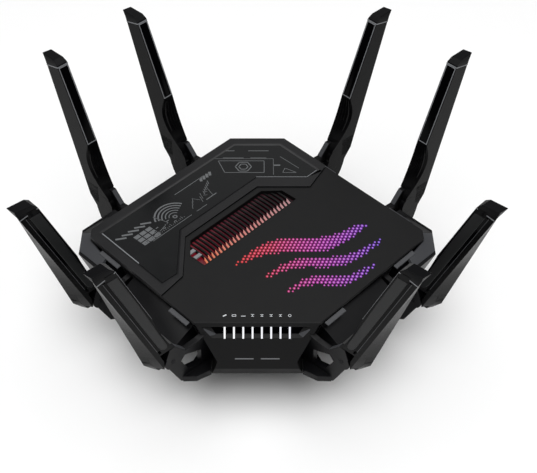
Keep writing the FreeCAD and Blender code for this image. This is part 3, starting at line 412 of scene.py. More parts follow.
def hollow(up):
    """Depth of the scooped waist: a half sine wave between its two ends."""
    return np.sin(np.pi * np.clip((up - WAIST_LOW) / WAIST_LONG, 0, 1))


def blade_rings(up):
    """Rings of the upper blade at heights up, from the inner near corner round by the outer face.
    The groove's depth fades out towards both ends, and the near side's crown towards the lower end."""
    inside, outer, far = inner_out(up), near_out(up), far_out(up)
    depth = GROOVE_DEEP * np.clip((up - GROOVE_LOW) / 3, 0, 1) * np.clip((GROOVE_HIGH - up) / 3, 0, 1)
    crown = 0.5 * np.clip((up - 76) / 8, 0, 1)
    wide, waist = outer - inside, hollow(up)
    ring = [(inside + WAIST_NEAR * waist, -HALF), (inside + 0.2 * wide, -HALF - crown),
            (inside + 0.5 * wide, -HALF - crown), (outer - 6.6, -HALF), (outer - 6.5, depth - HALF),
            (outer - 4.5, depth - HALF), (outer - 4.4, -HALF), (outer, -HALF), (far, HALF),
            (inside + WAIST_FAR * waist, HALF), (inside + 8.5 * waist, HALF - 2.4 * waist)]
    return np.stack([np.stack([out + 0 * up, along + 0 * up, up], -1) for out, along in ring], 1)


def cheek_rings(with_tail):
    """The half-thick lower end, from the lap face to the far side, with a tapered tail on some blades."""
    up = np.array([BLADE_LOW, 56.0, KNEE_HIGH, 66.0, WAIST_LOW, 72.0, NOTCH_HIGH])
    inside, outer = inner_out(up), far_out(up)
    if with_tail:
        up = np.concatenate([[37.0, 42.0, 48.0], up])
        inside = np.concatenate([[132.0, 127.5, 123.0], inside])
        outer = np.concatenate([[136.5, 139.5, 142.0], outer])
    share = (LAP + HALF) / (2 * HALF)
    lap_outer = outer + (near_out(up) - far_out(up)) * (1 - share)
    corners = [(inside, LAP), (np.maximum(lap_outer, inside + 4), LAP), (outer, HALF),
               (inside + WAIST_FAR * hollow(up), HALF)]
    return np.stack([np.stack([out, along + 0 * up, up], -1) for out, along in corners], 1)


def blade_shells(with_tail):
    """The upper blade, the far cheek beside the hinge arm, the web outside the arm, and the knuckle."""
    tall = np.array([NOTCH_HIGH, 77, 80, 84, 88, 92, 96, 100, 104, 108, 111, 114, 116, 130, 160, 175, 178,
                     BLADE_HIGH])
    web_low = np.array([58.0, 66.0, NOTCH_HIGH])
    web = [[(max(NOTCH_OUT, near_out(up) - 4), -HALF, up), (max(NOTCH_OUT, near_out(up)), -HALF, up),
            (far_out(up), HALF, up), (NOTCH_OUT, HALF, up)] for up in web_low]
    turn = np.linspace(0, 2 * np.pi, 33)[:-1]
    round_face = np.c_[PIVOT_OUT + KNUCKLE * np.cos(turn), 0 * turn, PIVOT_HIGH + KNUCKLE * np.sin(turn)]
    knuckle = shell([round_face + [0, along, 0] for along in (LAP, HALF + 0.1)])
    return [shell(blade_rings(tall)), shell(cheek_rings(with_tail)), shell(web), knuckle]


def pad_shell():
    """A raised pad on the near side, with a rounded lower end: its edges follow the blade's."""
    up = np.array([79.6, 80.2, 82.0, 85.0, 100.0, 140.0, 176.5])
    pull = np.array([3.5, 2.0, 0.8, 0.2, 0.0, 0.0, 0.0])
    inside, outer = inner_out(up) + 1.5 + 1.5 * hollow(up) + pull, near_out(up) - 7.0 - pull
    proud = -HALF - 1.0
    corners = [(inside, -HALF + 1.0), (outer, -HALF + 1.0), (outer, proud + 0.2), (inside, proud + 0.2)]
    return shell(np.stack([np.stack([out, along + 0 * up, up], -1) for out, along in corners], 1))


def near_strip(start, end, proud):
    """A strip on the near side between two distances from the blade's outer edge."""
    up = np.array([81.0, 110.0, 140.0, 177.0])
    outer = near_out(up)
    corners = [(outer - start, -HALF + 1.0), (outer - end, -HALF + 1.0), (outer - end, -HALF - proud),
               (outer - start, -HALF - proud)]
    return shell(np.stack([np.stack([out, along + 0 * up, up], -1) for out, along in corners], 1))


def block_shell():
    """A plate on the sloping top of the fixed arm, beside the blade's cheek, painted pale grey as its
    highlight.
    """
    face = np.array([(PIVOT_OUT - 12.2, PIVOT_HIGH + 3.9), (PIVOT_OUT - 3.2, PIVOT_HIGH + 14.0)])
    lift = np.array([-0.25, 0.22])
    path = np.concatenate([face - lift, (face + lift)[::-1]])
    return shell([[(out, along, up) for out, up in path] for along in (-HALF + 0.3, -LAP - 0.3)])


ANTENNAS = [place.format(hand) for hand in ("left", "right")
            for place in ("back_{}", "{}_back", "front_{}", "{}_front")]
ANTENNA_ALONG = 44.0


def antenna_turn(place):
    """The map from an antenna's own out, along and up to the router's X, Y and Z."""
    along = -ANTENNA_ALONG if place.startswith(("back", "front")) else ANTENNA_ALONG
    return lambda local: on_side(local + [0, along, 0], place)


for place in ANTENNAS:
    turn = antenna_turn(place)
    body = "antenna_" + place
    piece(f"blade_{place}", blade_shells("back" in place), blade_abs, body,
          [f"antenna_{place}_blade"], 0.4, turn)
    piece(f"blade_pad_{place}", [pad_shell()], pad_abs, body, (), 0.3, turn)
    # A near-black strip over the groove's mouth: painted shade in the groove.
    piece(f"blade_slot_{place}", [near_strip(6.7, 4.4, 0.1)], window_pc, body, (), 0.0,
          turn)
    # A thin pale grey strip along the groove's outer edge: a painted highlight.
    piece(f"groove_edge_painted_highlight_{place}", [near_strip(4.4, 4.0, 0.2)], highlight_grey_abs, body, (), 0.0,
          turn)
    # Pale grey plate on the hinge arm's top: a painted highlight.
    piece(f"arm_plate_painted_highlight_{place}", [block_shell()], highlight_grey_abs, BODY, (), 0.1, turn)
print("blades:", len(ANTENNAS))

# %% Antenna windows, their rims painted silver grey as a highlight, and the ribs below
WINDOW_LOW, WINDOW_HIGH, WINDOW_HALF = 116.6, 180.6, 4.0


def on_inner_face(up, along, proud):
    """A place on the inner face, moved out of it by proud along the face's normal."""
    out = inner_out(up) - proud * np.cos(LEAN_ANGLE)
    return np.stack([out, along, up + proud * np.sin(LEAN_ANGLE)], -1)


def face_loop(inset, proud):
    """The window's outline on the inner face, pulled in by an inset."""
    up = np.array([WINDOW_LOW + inset, WINDOW_HIGH - inset, WINDOW_HIGH - inset, WINDOW_LOW + inset])
    along = np.array([-1, -1, 1, 1]) * (WINDOW_HALF + 0.6 - inset)
    return on_inner_face(up, along, proud)


window_shells = [shell([face_loop(0.6, -0.6), face_loop(0.6, 0.2), face_loop(1.2, 0.35)])]
rim_highlight_shells = [shell([face_loop(inset, proud) for inset, proud in ((0.0, -0.5), (0.0, 0.35), (0.65, 0.35),
                                                                  (0.65, -0.5))], looped=True)]
RIB_UP = np.array([84.0, 92.0, 100.0, 108.0, 114.0])


def rib(along):
    """A rib down the scooped waist: it follows the face between the near and far waist depths."""
    share = (along + HALF) / (2 * HALF)
    face = inner_out(RIB_UP) + (WAIST_NEAR + 8.5 * share) * hollow(RIB_UP)
    return shell([np.array([(out - 0.5, along - 0.25, up), (out - 0.5, along + 0.25, up),
                            (out + 1.0, along + 0.5, up), (out + 1.0, along - 0.5, up)])
                  for out, up in zip(face, RIB_UP)])


for place in ANTENNAS:
    turn = antenna_turn(place)
    body = "antenna_" + place
    piece(f"antenna_window_{place}", window_shells, window_pc, body,
          [f"antenna_{place}_window"], 0.0, turn)
    # The silver grey rim round each window is a painted highlight on its edge.
    piece(f"antenna_rim_highlight_{place}", rim_highlight_shells, silver_grey_and_highlight_paint, body, (), 0.0, turn)
    piece(f"antenna_ribs_{place}", [rib(along) for along in (-3.0, -1.0, 1.0, 3.0)], blade_abs, body,
          (), 0.0, turn)
print("windows:", len(ANTENNAS))

# %% Antenna caps with a painted highlight along their parting line
CAP_OUT, CAP_TOP = 193.3, 186.8
PARTING_IN, PARTING_OUT = 181.6, 178.6


def cap_ring(drop, grow, low_in, low_out):
    """The blade's section pushed outwards by grow, at one height inside and another outside."""
    up_in, up_out = low_in - drop, low_out - drop
    inside, wide = inner_out(up_in) - grow, HALF + grow
    return np.array([(inside, -wide, up_in), (near_out(up_out) + grow, -wide, up_out),
                     (far_out(up_out) + grow, wide, up_out), (inside, wide, up_in)])


def cap_shells():
    """A sleeve from the parting line up to the blade's top, then a roof that slopes up and outwards."""
    skirt = cap_ring(0.0, 0.15, PARTING_IN, PARTING_OUT)
    brow = cap_ring(0.0, 0.15, 182.4, 182.6)
    roof = np.array([(177.6, -HALF + 0.8, 185.9), (CAP_OUT - 1.6, -HALF + 1.2, CAP_TOP),
                     (CAP_OUT, HALF - 1.2, CAP_TOP), (178.4, HALF - 0.8, 185.9)])
    return [shell([skirt, brow, roof])]


def parting_highlight_shells():
    """A thin band just under the cap, slightly proud of the blade, painted silver grey as the parting
    line's highlight.
    """
    section = ((0.0, 0.0), (0.0, 0.22), (0.7, 0.22), (0.7, 0.0))
    return [shell([cap_ring(drop, grow, PARTING_IN, PARTING_OUT) for drop, grow in section], looped=True)]


for place in ANTENNAS:
    turn = antenna_turn(place)
    body = "antenna_" + place
    piece(f"antenna_cap_{place}", cap_shells(), cap_abs, body, [f"antenna_{place}_cap"], 0.35,
          turn)
    # The silver grey band under each cap is a painted highlight on the parting line.
    piece(f"cap_line_highlight_{place}", parting_highlight_shells(), silver_grey_and_highlight_paint, body, (), 0.0, turn)
print("caps:", len(ANTENNAS))

# %% [markdown]
# ## Casing
# The cover, the case and the side carriers keep their CAD shapes. A moulding has no truly sharp edge, so
# each gets a copy with its flat triangles merged and its edges rounded, which is where the light catches.

# %% Rounded casing
QUARTERS = ("back_left", "back_right", "front_left", "front_right")
rounded_cad("top_cover", cover_abs, BODY, 0.5)
rounded_cad("lower_case", case_abs, BODY, 0.4)
for quarter in QUARTERS:
    rounded_cad("side_carrier_" + quarter, carrier_abs, BODY, 0.5)
print("rounded casings:", 2 + len(QUARTERS))

# %% [markdown]
# ## Window frame and smoked window
# The frame is a raised band that follows the cover's back left edges. Its outer outline is the cover's
# own edge, and its inner outline is the same line moved inwards by the band's width.

# %% Window frame
COVER_HALF, CORNER, BACK_HALF, FRONT_HALF = 135.5, 4.8, 24.0, 48.0
COVER_SIDE = COVER_HALF * SIN + CORNER * COS
COVER_BACK = CORNER + (COVER_HALF - BACK_HALF) * SIN / COS
COVER_FRONT = CORNER + (COVER_HALF - FRONT_HALF) * SIN / COS
COVER_TOP, FRAME_TOP, FRAME_FOOT = 75.0, 76.2, 73.5
NECK_X, BAY_X, BAY_BACK = -74.0, -58.4, 59.0


def edge_back(across, inset=0.0):
    """Y of the back long edge, pulled in by an inset, at a distance across from the middle."""
    return (COVER_SIDE - inset - across * SIN) / COS


def frame_line():
    """The frame's outer outline in plan."""
    bay = 40.0
    return np.array([(BACK_HALF, COVER_BACK), (-BACK_HALF, COVER_BACK), (-COVER_HALF, CORNER),
                     (-COVER_HALF, -CORNER), (NECK_X, -edge_back(-NECK_X)), (BAY_X, -50.0),
                     (BAY_X, (bay + BAY_X * SIN) / COS), ((BAY_BACK * COS - bay) / SIN, BAY_BACK),
                     (45.0, BAY_BACK), (59.6, edge_back(59.6))])


def glass_line(gap=0.0):
    """The window's outline in plan, with as many points as the frame's: its left corner is a near pair."""
    edge, bay, step, side = 9.6 + gap, 49.5 + gap, 72.0 + gap, 63.4 + gap
    back = COVER_BACK - edge
    rear = (COVER_SIDE - edge - back * COS) / SIN
    left = (COVER_SIDE - edge) / SIN
    tip = 51.8 - 2 * gap
    return np.array([(rear, back), (-rear, back), (-left + 0.3, 0.3), (-left + 0.3, -0.3),
                     (NECK_X, -edge_back(-NECK_X, edge)), (-side, -46.8 + gap),
                     (-side, (bay - side * SIN) / COS),
                     ((step * COS - bay) / SIN, step), (42.8, step), (tip, edge_back(tip, edge))])


def at_height(outline, up):
    """An outline's points with one height added to all of them."""
    return np.c_[outline, np.full(len(outline), up)]


frame_rings = [at_height(frame_line(), FRAME_FOOT), at_height(frame_line(), FRAME_TOP),
               at_height(glass_line(-1.6), FRAME_TOP), at_height(glass_line(), FRAME_TOP - 0.9),
               at_height(glass_line(), FRAME_FOOT)]
piece("window_frame_band", [shell(frame_rings, looped=True)], bezel_abs, BODY,
      ["window_frame"], 0.35)
GLASS_TOP = 75.5
piece("smoked_window", [shell([at_height(glass_line(0.1), 73.6), at_height(glass_line(0.1), GLASS_TOP)])],
      smoked_pc, BODY, ["window_panel"])
print("window spans X, mm:", round(float(np.ptp(glass_line()[:, 0])), 1))

# %% [markdown]
# ## Printed pattern
# The window carries a pale screen print: arcs, bars, blocks, ticks and a hexagon. All of it is plain
# decoration with no letters. Most strokes run along the side, so their places are out and along.

# %% Printed strokes on the window
def plan_on_side(out, along):
    """Plan place of out and along on the back left side."""
    return np.array([-(out * SIN + along * COS), out * COS - along * SIN])


PRINT_LOW, PRINT_HIGH = GLASS_TOP - 0.05, GLASS_TOP + 0.06


def plan_strokes(line, wide, closed=False):
    """Printed strokes through places given in plan."""
    return strokes(line, wide, PRINT_LOW, PRINT_HIGH, closed)


def side_strokes(line, wide, closed=False):
    """Printed strokes through places given as out and along on the back left side."""
    return plan_strokes([plan_on_side(*place) for place in line], wide, closed)


def hatch(out, along, count, pitch, length):
    """A row of slanted printed bars along the side."""
    shells = []
    for step in range(count):
        start = plan_on_side(out, along - step * pitch)
        end = plan_on_side(out + length, along - step * pitch - 0.75 * length)
        shells.append(bar(start, end, 2.4, PRINT_LOW, PRINT_HIGH))
    return shells


def arc(middle, radius, start, end, wide, steps=14):
    """A printed arc of short bars about a place given as out and along."""
    turn = np.radians(np.linspace(start, end, steps))
    return side_strokes([(middle[0] + radius * np.cos(angle), middle[1] + radius * np.sin(angle))
                         for angle in turn], wide)


artwork = []
for step in range(5):
    middle = np.array([-110.5, -6.5]) + 4.7 * step
    artwork += plan_strokes([middle - (4.4, 1.1), middle + (4.4, 1.1)], 1.9)
for row in range(3):
    for column in range(3):
        low = np.array([68.5 - 5.0 * row, 72.0 - 6.4 * column])
        artwork += side_strokes([low, low - (0, 5.4)], 4.0)
artwork += side_strokes([(77, 44), (63, 40), (60, 52)], 0.5)
ARC_MIDDLE = (64.0, 31.0)
for radius in (5.0, 8.0, 11.0, 14.0, 17.0):
    artwork += arc(ARC_MIDDLE, radius, -64, 66, 0.55 + 0.05 * radius)
artwork += arc(ARC_MIDDLE, 1.6, 0, 350, 1.2, 10)
for step in range(22):
    artwork += side_strokes([(57.6, 70 - 2.1 * step), (58.6 + step % 3, 70 - 2.1 * step)], 0.45)
for step in range(9):
    artwork += side_strokes([(60 + 3 * (step % 4), 14 - 3 * step), (64 + 3 * (step % 3), 11 - 3 * step)],
                            0.4)
artwork += side_strokes([(55.5, 64), (55.5, 20)], 0.5) + side_strokes([(55.5, 14), (55.5, 2)], 0.5)
artwork += side_strokes([(84, 12), (84, -22)], 0.6) + side_strokes([(60, -2), (60, -14)], 0.9)
for step in range(7):
    out, along = 60 + 2.4 * (step % 3), 60 - 4.0 * step
    artwork += side_strokes([(out, along), (out, along - 2.5)], 0.8)
artwork += hatch(80.0, -16.0, 4, 3.6, 4.0)
for step in range(6):
    artwork += side_strokes([(66 + 1.4 * step, -6 - 2.4 * step), (70 + 1.4 * step, -8 - 2.4 * step)], 0.6)
artwork += plan_strokes([(-36, 108), (-20, 108)], 0.8)
artwork += plan_strokes([(-8, 108), (10, 108)], 0.8)
artwork += plan_strokes([(-37, 97), (14, 97), (14, 75)], 0.4)
artwork += plan_strokes([(22, 78), (34, 78), (24, 84)], 0.5, closed=True)
artwork += plan_strokes([(-34, 94), (6, 94), (6, 78), (-28, 78)], 0.6, closed=True)
artwork += plan_strokes([(-30, 98), (-12, 98)], 0.7)
artwork += plan_strokes([(-6, 98), (8, 98)], 0.7)
hexagon = np.radians(np.arange(0, 360, 60))
unit_hexagon = np.stack([np.cos(hexagon), np.sin(hexagon)], -1)
for radius in (7.0, 4.0):
    artwork += plan_strokes(unit_hexagon * radius + (-12, 86), 0.9, closed=True)
artwork += plan_strokes([(14, 88), (20, 88)], 1.6)
artwork += plan_strokes([(20, 100), (36, 84)], 0.5)
piece("window_print", artwork, ink, BODY)
print("printed strokes:", len(artwork))

# %% Painted highlight along the window's bevelled edge
line = glass_line(0.2)
bevel_end = line[3] + 0.62 * (line[4] - line[3])
bevel_highlight_strokes = strokes([line[3], bevel_end], 0.9, GLASS_TOP - 0.3, GLASS_TOP + 0.25)
bevel_highlight_strokes += strokes([line[7], line[8], line[9]], 0.5, GLASS_TOP - 0.3, GLASS_TOP + 0.15)
piece("window_bevel_highlight", bevel_highlight_strokes, silver_grey_and_highlight_paint, BODY)
print("bevel strokes:", len(bevel_highlight_strokes))

# %% [markdown]
# ## The lit vent
# Beside the window a sunken vent glows red. Curved fins cross it, each ending in a hook on the inner side.

# %% Vent well, fins and light bars
VENT_NEAR, VENT_FAR, VENT_CUT, FIN_PITCH = 5.0, 35.0, 13.0, 4.1
RIM_FOOT, RIM_TOP = 71.0, 75.05


def vent_line(inset):
    """The vent's outline on its side, pulled in by an inset."""
    near, far, back, left = VENT_NEAR + inset, VENT_FAR - inset, VENT_BACK + inset, VENT_LEFT - inset
    cut = VENT_CUT - 0.59 * inset
    return np.array([(near, back), (far - cut, back), (far, back + cut), (far, left - cut),
                     (far - cut, left), (near, left)])


def local_to_plan(local):
    """The vent's side is the back left one."""
    return on_side(local, "back_left")


FIN_PATH = np.array([(34.6, 71.6), (30.0, 72.6), (24.0, 73.6), (17.0, 74.2), (10.5, 74.3), (6.6, 73.9),
                     (5.2, 72.4)])


def fin(along, thick):
    """A fin: a thin section carried along a line that arches over the vent and hooks down at its end.
    The line leans back along the side by a share of its run, which gives the curl."""
    run = FIN_PATH[0, 0] - FIN_PATH[:, 0]
    middle = along + 3.2 * (run / run[-1]) ** 2
    return shell([[(out, low, up - 2.2), (out, high, up - 2.2), (out, high, up), (out, low, up)]
                  for (out, up), low, high in zip(FIN_PATH, middle - thick / 2, middle + thick / 2)])


fins = [fin(along, 1.5) for along in np.arange(-52.0, 47.0, FIN_PITCH)]
rim_rings = [at_height(vent_line(inset), up)
             for inset, up in ((-0.4, RIM_FOOT), (-0.4, RIM_TOP), (0.7, RIM_TOP), (0.7, RIM_FOOT))]
piece("vent_fins", fins + [shell(rim_rings, looped=True)], case_abs, BODY, ["vent_grille"],
      0.0, local_to_plan)
well = shell([at_height(vent_line(-0.3), up) for up in (69.6, 71.2)])
piece("vent_well_glow", [well], vent_glow, BODY, ["vent_light_guide"], 0.0, local_to_plan)


def light_tip(along):
    """A thin lit blade between two fins, which rises and leans with them towards the inner side."""
    return shell([[(out, start, 72.0), (out, start + 0.5, 72.0), (out, start + 0.5, top), (out, start, top)]
                  for out, start, top in ((12.4, along, 74.3), (5.6, along + 2.6, 74.9))])


lit = [light_tip(along) for along in np.arange(-50.0, 49.0, FIN_PITCH)]
piece("vent_light_bars", lit, vent_tips, BODY, (), 0.0, local_to_plan)
louvres = [shell([[(out, along, 73.0), (out + 3.4, along, 73.0), (out + 3.4, along, 74.6),
                   (out, along, 74.6)] for along in (47.5, 54.5)]) for out in (16.0, 23.0)]
piece("vent_louvres", louvres, silver_grey_and_highlight_paint, BODY, (), 0.3, local_to_plan)
print("fins:", len(fins))

# %% [markdown]
# ## The dot matrix light field
# Small windows in the cover form a lattice, each lit from below. Here three rising waves of light fill
# the field, drawn with dots whose size fades towards the ends of each wave.

# %% Dot matrix
PITCH_X, PITCH_Y, SHEAR = 3.2, 3.3, 0.35
WAVES = [
    # start, end, base, rise, bend, half width
    (-17, 96, -36, 0.44, 7.5, 9.5), (4, 103, -53, 0.44, 6.5, 6.5), (22, 96, -68, 0.42, 5.5, 6.0)]


def wave_share(across, back):
    """How brightly a place is lit: three bands that follow rising sine curves and taper at both ends."""
    share = np.zeros_like(across)
    for start, end, base, rise, bend, half in WAVES:
        run = (across - start) / (end - start)
        middle = base + rise * (across - start) + bend * np.sin(2.2 * np.pi * run)
        width = half * np.sqrt(np.clip(4 * run * (1 - run), 0, 1))
        share = np.maximum(share, np.where((run > 0) & (run < 1), width - np.abs(back - middle), -1))
    return share


grid_x, grid_y = np.meshgrid(np.arange(-20, 106, PITCH_X), np.arange(-66, 12, PITCH_Y))
grid_x = grid_x + SHEAR * (grid_y - grid_y.min()) - 10
lit_share = wave_share(grid_x, grid_y)
on_cover = grid_x * SIN - grid_y * COS < COVER_SIDE - 6
chosen = (lit_share > 0) & on_cover
dots = np.stack([grid_x[chosen], grid_y[chosen]], -1)
sizes = np.clip(0.8 + 0.14 * lit_share[chosen], 0.75, 1.38)


def dot_shells(grow, low, high):
    """Eight-sided discs at all lit lattice places, as one stack of rings each."""
    turn = np.radians(np.arange(0, 360, 45) + 22.5)
    circle = np.stack([np.cos(turn), 1.25 * np.sin(turn)], -1)
    return [prism(middle + circle * size * grow, low, high) for middle, size in zip(dots, sizes)]


piece("matrix_dots", dot_shells(1.0, 74.6, 75.06), matrix_glow, BODY)
piece("matrix_dot_cores", dot_shells(0.36, 74.7, 75.1), matrix_core, BODY)
print("lit dots:", len(dots))

# %% [markdown]
# ## Front panel, status lights and icons
# The panel drops steeply from the cover's front edge, narrows to a waist and widens to a foot. The status
# lights stand in a recess with sloping ends. The face is a grid whose rows follow the panel's outline.

# %% Front panel
PANEL_FOOT, PANEL_OUT = 41.0, 115.5
PANEL_SLOPE = (PANEL_OUT - COVER_FRONT) / (COVER_TOP - PANEL_FOOT)


def face_back(up):
    """Y of the sloping face at a height."""
    return -(COVER_FRONT + (COVER_TOP - up) * PANEL_SLOPE)


FACE_ROWS = [
    # up, half width, recess outer, recess inner, recess depth
    (COVER_TOP, FRONT_HALF, 44.0, 39.0, 0.0), (71.8, 46.0, 42.4, 36.5, 0.0),
    (70.8, 45.4, 41.4, 34.6, 3.4), (65.4, 42.2, 36.4, 31.6, 3.4), (63.8, 41.2, 34.4, 30.6, 0.0),
    (46.0, 30.5, 24.0, 16.0, 0.0), (PANEL_FOOT, 32.4, 25.0, 17.0, 0.0), (34.0, 35.0, 26.0, 18.0, 0.0)]
front_grid = []
for up, half, outer, inner, deep in FACE_ROWS:
    face = face_back(up) if up >= PANEL_FOOT else -114.0
    row_x = np.array([-half, -outer, -inner, 0.0, inner, outer, half])
    sunk = np.array([0, 0, deep, deep, deep, 0, 0])
    front_grid.append(at_height(np.c_[row_x, face + sunk], up))
front_grid = np.array(front_grid)
back_grid = front_grid.copy()
back_grid[:, :, 1] = np.maximum(front_grid[:, :, 1] + 2.0, -92.0 + 0.32 * (72 - front_grid[:, :, 2]))
front_grid[0, :, 1:] = (-COVER_FRONT - 0.25, 74.9)
back_grid[0, :, 1:] = (-COVER_FRONT - 0.05, 74.9)


def sheet_shell(front, back):
    """A closed shell between two grids of the same size, joined round their borders."""
    rows, columns = front.shape[:2]
    index = np.arange(rows * columns).reshape(rows, columns)
    face = np.stack([index[:-1, :-1], index[:-1, 1:], index[1:, 1:], index[1:, :-1]], -1).reshape(-1, 4)
    rear = face[:, ::-1] + index.size
    border = np.concatenate([index[0, :-1], index[:-1, -1], index[-1, :0:-1], index[:0:-1, 0]])
    after = np.roll(border, -1)
    wall = np.stack([border, border + index.size, after + index.size, after], -1)
    return np.concatenate([front.reshape(-1, 3), back.reshape(-1, 3)]), [face, rear, wall]


piece("front_face", [sheet_shell(front_grid, back_grid)], cover_abs, BODY,
      ["front_panel"], 0.3)
BAR_PITCH, BAR_HALF = 7.05, 0.68


def light_bar(middle):
    """A light pipe that bridges the recess from its upper to its lower edge."""
    rings = []
    for up, out in ((71.9, 0.35), (70.6, 0.7), (65.0, 0.7), (63.5, 0.3)):
        face = face_back(up)
        rings.append([(middle - BAR_HALF, face - out, up), (middle + BAR_HALF, face - out, up),
                      (middle + BAR_HALF, face + 2.6, up), (middle - BAR_HALF, face + 2.6, up)])
    return shell(rings)


BAR_X = (np.arange(8) - 3.5) * BAR_PITCH
piece("status_light_pipes", [light_bar(middle) for middle in BAR_X], bar_glow, BODY,
      ["led_light_bars"])
recess_back = [[(-half, face_back(up) + 2.7, up), (half, face_back(up) + 2.7, up)]
               for up, half in ((71.3, 36.0), (65.0, 31.4))]
recess_back = np.array(recess_back)
piece("status_recess_floor", [sheet_shell(recess_back, recess_back + [0, 0.6, 0])], window_pc, BODY)
# The recess's sloping ends are painted pale grey as their highlight.
facets = []
for hand in (-1, 1):
    corner = [(hand * across, face_back(up) + deep, up)
              for across, up, deep in ((42.0, 71.5, 0.1), (34.6, 64.1, 0.1), (31.4, 65.2, 2.2))]
    corner = corner if hand > 0 else corner[::-1]
    facets.append(shell([corner, [(x + hand * 0.2, y + 0.7, z) for x, y, z in corner]]))
piece("status_recess_facets_highlight", facets, highlight_grey_abs, BODY)


def accent_line(left, right):
    """A thin line across the sloping face, slightly proud of it."""
    rows = [(face_back(up) - 0.06, face_back(up) + 0.8, up) for up in (48.1, 48.8)]
    return shell([[(left, face, up), (right, face, up), (right, rear, up), (left, rear, up)]
                  for face, rear, up in rows])


grooves = [accent_line(-17.0, -2.8), accent_line(2.8, 17.0)]
piece("front_accent_lines", grooves, silver_grey_and_highlight_paint, BODY)
piece("front_seam", [bar((-47.5, -97.4), (47.5, -97.4), 0.5, 74.8, 75.03)], case_abs, BODY)


def icon_shells():
    """Plain marks for the lights: a slanted stroke, a box, a bar, four posts between bars, and a ring."""
    low, high, back = 74.9, 75.07, -91.9
    slant, box, dash, ring = BAR_X[0], BAR_X[1], BAR_X[2], BAR_X[7]
    marks = strokes([(slant - 1.3, back - 0.8), (slant + 1.2, back + 0.9)], 1.1, low, high)
    marks += strokes([(box - 1.4, back - 0.9), (box + 1.4, back - 0.9), (box + 1.4, back + 0.9),
                      (box - 1.4, back + 0.9)], 0.45, low, high, closed=True)
    marks += strokes([(dash - 1.7, back - 0.6), (dash + 1.7, back - 0.6)], 0.6, low, high)
    for middle, lift in zip(BAR_X[3:7], (0.2, 0.0, 0.0, 0.0)):
        top = back + 0.9 + lift
        marks += strokes([(middle - 1.2, top), (middle + 1.2, top)], 0.45, low, high)
        marks += strokes([(middle, top), (middle, back - 1.0 - lift)], 0.5, low, high)
        marks += strokes([(middle - 1.0, back - 0.9), (middle + 1.0, back - 0.9)], 0.45, low, high)
    turn = np.radians(np.arange(0, 360, 45))
    rounded = np.c_[ring + 1.1 * np.cos(turn), back + 1.2 * np.sin(turn)]
    marks += strokes(rounded, 0.4, low, high, closed=True)
    return marks


icons = icon_shells()
piece("status_icons", icons, icon_ink, BODY)
print("status lights:", len(BAR_X), "icon strokes:", len(icons))

# %% [markdown]
# ## Corner skirts and edge ledges
# Below the cover's left and right corners a sloping skirt joins the two side carriers, and short ledges
# run beside the long edges. They face upwards and catch the light box, and their pale grey is painted
# highlight.

# %% Corner skirts and ledges
SKIRT_TOP = np.array([(-122.0, -25.0, 71.2), (-135.9, -5.0, 71.9), (-135.9, 5.0, 71.9),
                      (-122.0, 25.0, 71.2)])
SKIRT_LOW = np.array([(-126.5, -30.0, 66.3), (-144.8, -11.0, 66.3), (-144.8, 11.0, 66.3),
                      (-126.5, 30.0, 66.3)])
MIRROR_X = np.array([-1.0, 1.0, 1.0])
skirt_front = np.stack([SKIRT_TOP, SKIRT_LOW])
skirt_back = skirt_front * [0.985, 0.985, 1.0] - [0, 0, 1.6]
# The skirts are painted pale grey as their highlight.
for hand, side in (("left", np.ones(3)), ("right", MIRROR_X)):
    front, back = skirt_front * side, skirt_back * side
    piece(f"corner_skirt_highlight_{hand}", [sheet_shell(front[:, :3], back[:, :3])], highlight_grey_abs, BODY,
          (), 0.3)
    piece(f"corner_pocket_{hand}", [sheet_shell(front[:, 2:], back[:, 2:])], case_abs, BODY,
          (), 0.3)


def ledge_plate(start, end):
    """A narrow plate beside the long edge, tilted outwards."""
    return shell([[(103.0, along, 72.4), (106.6, along, 71.4), (106.6, along, 70.4), (103.0, along, 71.2)]
                  for along in (start, end)])


# The ledges are painted pale grey as their highlight.
for quarter in QUARTERS:
    plates = [ledge_plate(48.5, 72.5), ledge_plate(-36.0, -14.5)]
    piece(f"edge_ledges_highlight_{quarter}", plates, highlight_grey_abs, BODY, (), 0.25,
          lambda local, place=quarter: on_side(local, place))
print("skirts and ledges ready")

# %% [markdown]
# ## Socket contacts
# A network socket holds eight gold-plated spring wires, 1.02 mm apart, that slope into its mouth. A USB
# socket holds a nylon tongue. Their places are worked out from the boxes of the two sockets' CAD nodes.

# %% Socket contacts
WIRE_PITCH, WIRE_WIDE, SOCKET_SILL = 1.02, 0.42, 2.55
jack_low, jack_top = (np.array(corner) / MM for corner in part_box("ethernet_sockets"))
usb_low, usb_top = (np.array(corner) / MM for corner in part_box("usb_sockets"))


def wire(across, floor):
    """A contact wire: a square section that rises from the mouth's floor as it runs inwards."""
    left, right = across - WIRE_WIDE / 2, across + WIRE_WIDE / 2
    return shell([[(left, back, up), (right, back, up), (right, back, up + WIRE_WIDE),
                   (left, back, up + WIRE_WIDE)]
                  for back, up in ((jack_top[1] - 1.2, floor), (jack_top[1] - 7.5, floor + 2.2))])


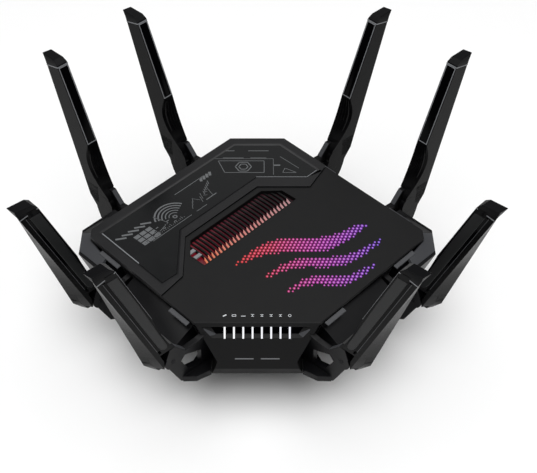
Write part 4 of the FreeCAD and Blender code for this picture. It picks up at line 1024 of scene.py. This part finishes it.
columns = jack_low[0] + (jack_top[0] - jack_low[0]) * np.array([1, 3, 5]) / 6
floors = jack_low[2] + (jack_top[2] - jack_low[2]) * np.array([0.0, 0.5]) + SOCKET_SILL
wires = [wire(column + (step - 3.5) * WIRE_PITCH, floor) for column in columns for floor in floors
         for step in range(8)]
piece("network_contacts", wires, gold_plate, BODY)
usb_middle = (usb_low + usb_top) / 2
tongue_half = (usb_top[0] - usb_low[0]) / 2 - 2.0
left, right = usb_middle[0] - tongue_half, usb_middle[0] + tongue_half
inner, outer = usb_top[1] - 9, usb_top[1] - 1
tongues = []
for share in (0.25, 0.75):
    up = usb_low[2] + (usb_top[2] - usb_low[2]) * share + 0.3
    tongues.append(prism([(left, inner), (right, inner), (right, outer), (left, outer)], up, up + 1.6))
piece("usb_tongues", tongues, socket_nylon, BODY)
print("contact wires:", len(wires), "tongues:", len(tongues))

# %% [markdown]
# ## Floor and studio light
# A pale sheet stands for the studio table. Soft light from overhead, from behind and from the front gives
# black plastic its shape, because what the eye sees on it is mostly the reflection of the light boxes.

# %% Floor and lights
floor_mesh = bpy.data.meshes.new("floor")
floor_mesh.from_pydata([(-6, -6, 0), (6, -6, 0), (6, 6, 0), (-6, 6, 0)], [], [(0, 1, 2, 3)])
floor = bpy.data.objects.new("floor", floor_mesh)
bpy.context.scene.collection.objects.link(floor)
floor_paint, tree, shader = new_material("pale_studio_sweep", "#f4f4f4", roughness=0.9)
floor_mesh.materials.append(floor_paint)

world = bpy.data.worlds.new("studio")
world.use_nodes = True
world.node_tree.nodes["Background"].inputs["Color"].default_value = (1.0, 1.0, 1.0, 1.0)
world.node_tree.nodes["Background"].inputs["Strength"].default_value = 0.14
bpy.context.scene.world = world


def soft_box(name, place, size, watts):
    """A rectangular light at a place, turned to face the router's middle."""
    light = bpy.data.lights.new(name, "AREA")
    light.shape = "RECTANGLE"
    light.size, light.size_y = size
    light.energy = watts
    box = bpy.data.objects.new(name, light)
    box.location = place
    box.rotation_euler = (Vector((0, 0, 0.07)) - Vector(place)).to_track_quat("-Z", "Y").to_euler()
    bpy.context.scene.collection.objects.link(box)
    return box


soft_box("overhead_box", (0.0, -0.2, 2.1), (3.4, 3.2), 78)
soft_box("back_box", (0.0, 2.4, 1.6), (2.8, 1.0), 4)
soft_box("front_box", (0.0, -2.2, 1.5), (2.4, 0.9), 5)
bpy.context.scene.view_settings.view_transform = "Standard"
print("floor and lights ready")
